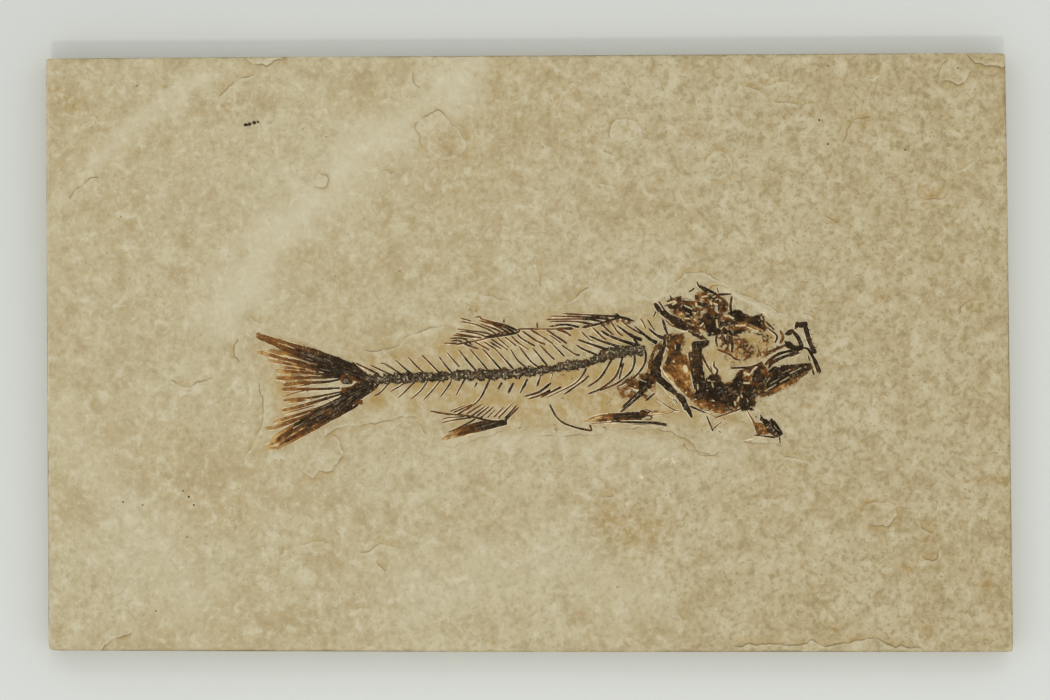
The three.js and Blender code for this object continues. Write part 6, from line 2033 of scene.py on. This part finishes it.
def add_camera(lens_height):
    """The camera, which looks straight down at the middle of the picture."""
    picture_width = IMAGE_WIDTH * PIXEL * MM
    lens = bpy.data.cameras.new("camera")
    lens.sensor_width = SENSOR_WIDTH
    lens.lens = SENSOR_WIDTH * (lens_height - FOCUS_HEIGHT) / picture_width
    lens.clip_start, lens.clip_end = 0.05, 20.0
    camera = bpy.data.objects.new("camera", lens)
    centre_x, centre_y = at(IMAGE_WIDTH / 2, IMAGE_HEIGHT / 2)
    camera.location = (centre_x * MM, centre_y * MM, lens_height)
    bpy.context.scene.collection.objects.link(camera)
    bpy.context.scene.camera = camera


def add_lamp(name, toward, strength, soft, colour):
    """A lamp far away that shines from the given side."""
    data = bpy.data.lights.new(name, "SUN")
    data.energy = strength
    data.angle = soft
    data.color = colour
    lamp = bpy.data.objects.new(name, data)
    lamp.rotation_mode = "QUATERNION"
    lamp.rotation_quaternion = Vector(toward).to_track_quat("Z", "Y")
    lamp.location = Vector(toward)
    bpy.context.scene.collection.objects.link(lamp)


def build_stage(look, sizes):
    """Floor, camera straight above and the soft studio lights."""
    add_floor(look)
    add_camera(sizes.camera_height)
    world = bpy.data.worlds.new("studio_world")
    world.use_nodes = True
    back = world.node_tree.nodes["Background"]
    back.inputs[0].default_value = (*look.sky, 1.0)
    back.inputs[1].default_value = sizes.sky_strength
    bpy.context.scene.world = world
    add_lamp("key_light", (-0.10, -1.0, 1.60), sizes.key_strength, 0.08, look.lamp)
    add_lamp("counter_light", (0.10, 1.0, 1.35), sizes.counter_strength, 0.10, look.lamp)
    add_lamp("side_light", (-1.2, -0.1, 1.1), sizes.side_strength, 0.35, look.lamp)
    view = bpy.context.scene.view_settings
    view.view_transform = "Standard"
    view.look = "None"
    view.exposure = 0.0
    view.gamma = 1.0


def colour_property(name, description, value):
    return bpy.props.FloatVectorProperty(
        name=name, description=description, subtype="COLOR", size=3, min=0.0, max=1.0, default=linear(*value))


class FossilLook(bpy.types.PropertyGroup):
    """Colours of the stone, the bone and the studio."""

    tan: colour_property("Tan", "Main colour of the limestone", (184, 168, 129))
    pale_tan: colour_property("Pale tan", "Lighter beds of the limestone", (190, 178, 143))
    pale_stone: colour_property("Pale stone", "Chalky greenish-grey patches", (206, 199, 170))
    brown_tan: colour_property("Brown tan", "Browner cloudy patches", (166, 145, 102))
    olive: colour_property("Olive", "Small olive-brown mottles", (144, 126, 82))
    warm_tan: colour_property("Warm tan", "Stained stone under the fish", (170, 140, 80))
    rust: colour_property("Rust", "Orange-brown iron stains", (158, 122, 58))
    # Ledge brown: colour of the dark line along each ledge and edge, and of the faint tint on the sides and
    # back.
    ledge_brown: colour_property("Ledge brown", "Dirt along broken edges", (120, 96, 54))
    black_bone: colour_property("Black bone", "Densest mineral of the bone", (38, 27, 13))
    dark_bone: colour_property("Dark bone", "Main colour of the bone", (54, 40, 24))
    brown_bone: colour_property("Brown bone", "Thinner brown bone", (86, 54, 25))
    red_amber: colour_property("Red amber", "Translucent orange-brown bone", (114, 71, 31))
    amber: colour_property("Amber", "Thinnest bone at the fin tips", (156, 110, 54))
    # Painted highlight: the grey glint colour on dark bone; pale amber is the palest thin bone and also the
    # painted highlight on amber bone.
    painted_highlight_grey: colour_property("Grey glint", "Fine grey streaks on dark bone", (128, 114, 92))
    pale_amber_and_highlight: colour_property("Pale amber", "Light streaks on amber bone", (186, 150, 90))
    # Fleck: bare stone and pale flecks on the bone, partly painted highlight.
    fleck: colour_property("Fleck", "Bare stone and pale flecks on the bone", (208, 190, 146))
    # Scraped stone: colour of the pale chips and of the rims beside the bones, which are partly painted
    # highlight.
    scraped: colour_property("Scraped stone", "Fresh pale stone beside the bones", (224, 208, 170))
    floor: colour_property("Floor", "Plain studio floor", (215, 217, 210))
    sky: colour_property("Fill light", "Colour of the light from all round", (250, 252, 255))
    lamp: colour_property("Lamp", "Colour of the lamps", (255, 252, 244))


class FossilSizes(bpy.types.PropertyGroup):
    """Spacings of the meshes and strengths of the lights."""

    fish_spacing: bpy.props.FloatProperty(
        name="Spacing at the fish", description="Millimetres between the stone's mesh points round the fish",
        default=0.60, min=0.2, max=3.0)
    field_spacing: bpy.props.FloatProperty(
        name="Spacing elsewhere",
        description="Millimetres between the stone's mesh points away from the fish",
        default=1.15, min=0.4, max=5.0)
    patch_spacing: bpy.props.FloatProperty(
        name="Bone spacing", description="Millimetres between the mesh points of crushed bone",
        default=0.13, min=0.05, max=1.0)
    camera_height: bpy.props.FloatProperty(
        name="Camera height", description="Height of the camera above the floor",
        default=1.40, min=0.3, max=5.0, unit="LENGTH")
    sky_strength: bpy.props.FloatProperty(
        name="Fill strength", description="Strength of the light from all round",
        default=0.925, min=0.0, max=5.0)
    key_strength: bpy.props.FloatProperty(
        name="Key strength", description="Strength of the lamp in front", default=0.41, min=0.0, max=10.0)
    counter_strength: bpy.props.FloatProperty(
        name="Counter strength", description="Strength of the lamp behind", default=0.13, min=0.0, max=10.0)
    side_strength: bpy.props.FloatProperty(
        name="Side strength", description="Strength of the lamp at the tail's side",
        default=0.06, min=0.0, max=10.0)


def settings():
    scene = bpy.context.scene
    return scene.fossil_look, scene.fossil_sizes


class FOSSIL_OT_stage(bpy.types.Operator):
    """Add the floor, the camera and the studio lights"""

    bl_idname = "fossil.stage"
    bl_label = "Stage"

    def execute(self, context):
        build_stage(*settings())
        return {"FINISHED"}


class FOSSIL_OT_slab(bpy.types.Operator):
    """Add the limestone slab"""

    bl_idname = "fossil.slab"
    bl_label = "Limestone slab"

    def execute(self, context):
        build_slab(*settings())
        return {"FINISHED"}


def bone_operator(name, label, note, *nodes):
    """An operator class that builds the bones of the nodes given."""

    def execute(self, context):
        build_bones(nodes, *settings())
        return {"FINISHED"}

    return type("FOSSIL_OT_" + name, (bpy.types.Operator,), {
        "__doc__": note, "bl_idname": "fossil." + name, "bl_label": label, "execute": execute})


BONE_STEPS = (
    bone_operator(
        "tail", "Tail fin", "Add both lobes of the tail fin",
        "tail_fin_upper_lobe", "tail_fin_lower_lobe"),
    bone_operator(
        "backbone", "Backbone", "Add the three runs of vertebrae with the spines that grow from them",
        "backbone_rear", "backbone_middle", "backbone_front"),
    bone_operator(
        "spines", "Loose spines", "Add the spines that lie clear of the backbone",
        "neural_spine_8", "neural_spine_16", "neural_spine_17", "neural_spine_18", "neural_spine_25",
        "neural_spine_26", "small_spine_1", "small_spine_2", "haemal_spine_8", "haemal_spine_10",
        "haemal_spine_11", "haemal_spine_12", "haemal_spine_13", "isolated_spine", "dorsal_support_1",
        "dorsal_support_2"),
    bone_operator(
        "ribs", "Ribs", "Add the ribs in front of and behind the break",
        "rib_1", "rib_2", "rib_3", "rib_4", "rib_5", "rib_6", "rear_rib_1", "rear_rib_2", "rear_rib_3"),
    bone_operator(
        "fins", "Fins", "Add the dorsal, anal and pelvic fins",
        "second_dorsal_fin", "first_dorsal_fin", "anal_fin", "pelvic_fin", "pelvic_bone", "pelvic_girdle"),
    bone_operator(
        "shoulder", "Shoulder bones", "Add the bones behind the gill cover",
        "pectoral_girdle", "pectoral_ray", "cleithrum", "supracleithrum"),
    bone_operator(
        "gill_cover", "Gill cover", "Add the plates and struts of the gill cover",
        "hyomandibular", "opercle", "preopercle", "jaw_joint", "branchiostegal_1", "branchiostegal_2",
        "gill_splint"),
    bone_operator(
        "skull", "Skull", "Add the crushed roof of the skull and the bones round the eye",
        "skull_roof_rear", "skull_crest", "braincase", "frontal", "orbit_roof", "orbit_rim",
        "lower_orbit_bar", "nasal_bone"),
    bone_operator(
        "jaws", "Jaws", "Add both jaws and the loose tongue bone under them",
        "premaxilla", "maxilla", "lower_jaw", "hyoid_fragment"),
)


class FOSSIL_OT_rims(bpy.types.Operator):
    """Add the pale rims of scraped stone beside the bones"""

    bl_idname = "fossil.rims"
    bl_label = "Scraped rims"

    def execute(self, context):
        build_scraped_and_lit_rims(settings()[0])
        return {"FINISHED"}


class FOSSIL_OT_crumbs(bpy.types.Operator):
    """Add loose bits of bone and the dark grains in the stone"""

    bl_idname = "fossil.crumbs"
    bl_label = "Crumbs and grains"

    def execute(self, context):
        build_crumbs(settings()[0])
        return {"FINISHED"}


STEPS = (FOSSIL_OT_stage, FOSSIL_OT_slab) + BONE_STEPS + (FOSSIL_OT_rims, FOSSIL_OT_crumbs)


class FOSSIL_PT_panel(bpy.types.Panel):
    """Lists the parts of the fossil slab in the order in which they are made"""

    bl_idname = "FOSSIL_PT_panel"
    bl_label = "Fossil fish slab"
    bl_space_type = "VIEW_3D"
    bl_region_type = "UI"
    bl_category = "Fossil"

    def draw(self, context):
        for step in STEPS:
            self.layout.operator(step.bl_idname)
        for group in settings():
            for name in group.__annotations__:
                self.layout.prop(group, name)


CLASSES = (FossilLook, FossilSizes) + STEPS + (FOSSIL_PT_panel,)


def register():
    for each in CLASSES:
        bpy.utils.register_class(each)
    bpy.types.Scene.fossil_look = bpy.props.PointerProperty(type=FossilLook)
    bpy.types.Scene.fossil_sizes = bpy.props.PointerProperty(type=FossilSizes)


def unregister():
    del bpy.types.Scene.fossil_sizes
    del bpy.types.Scene.fossil_look
    for each in reversed(CLASSES):
        bpy.utils.unregister_class(each)


def main():
    register()
    for step in STEPS:
        group, name = step.bl_idname.split(".")
        getattr(getattr(bpy.ops, group), name)()


if __name__ == "__main__":
    main()
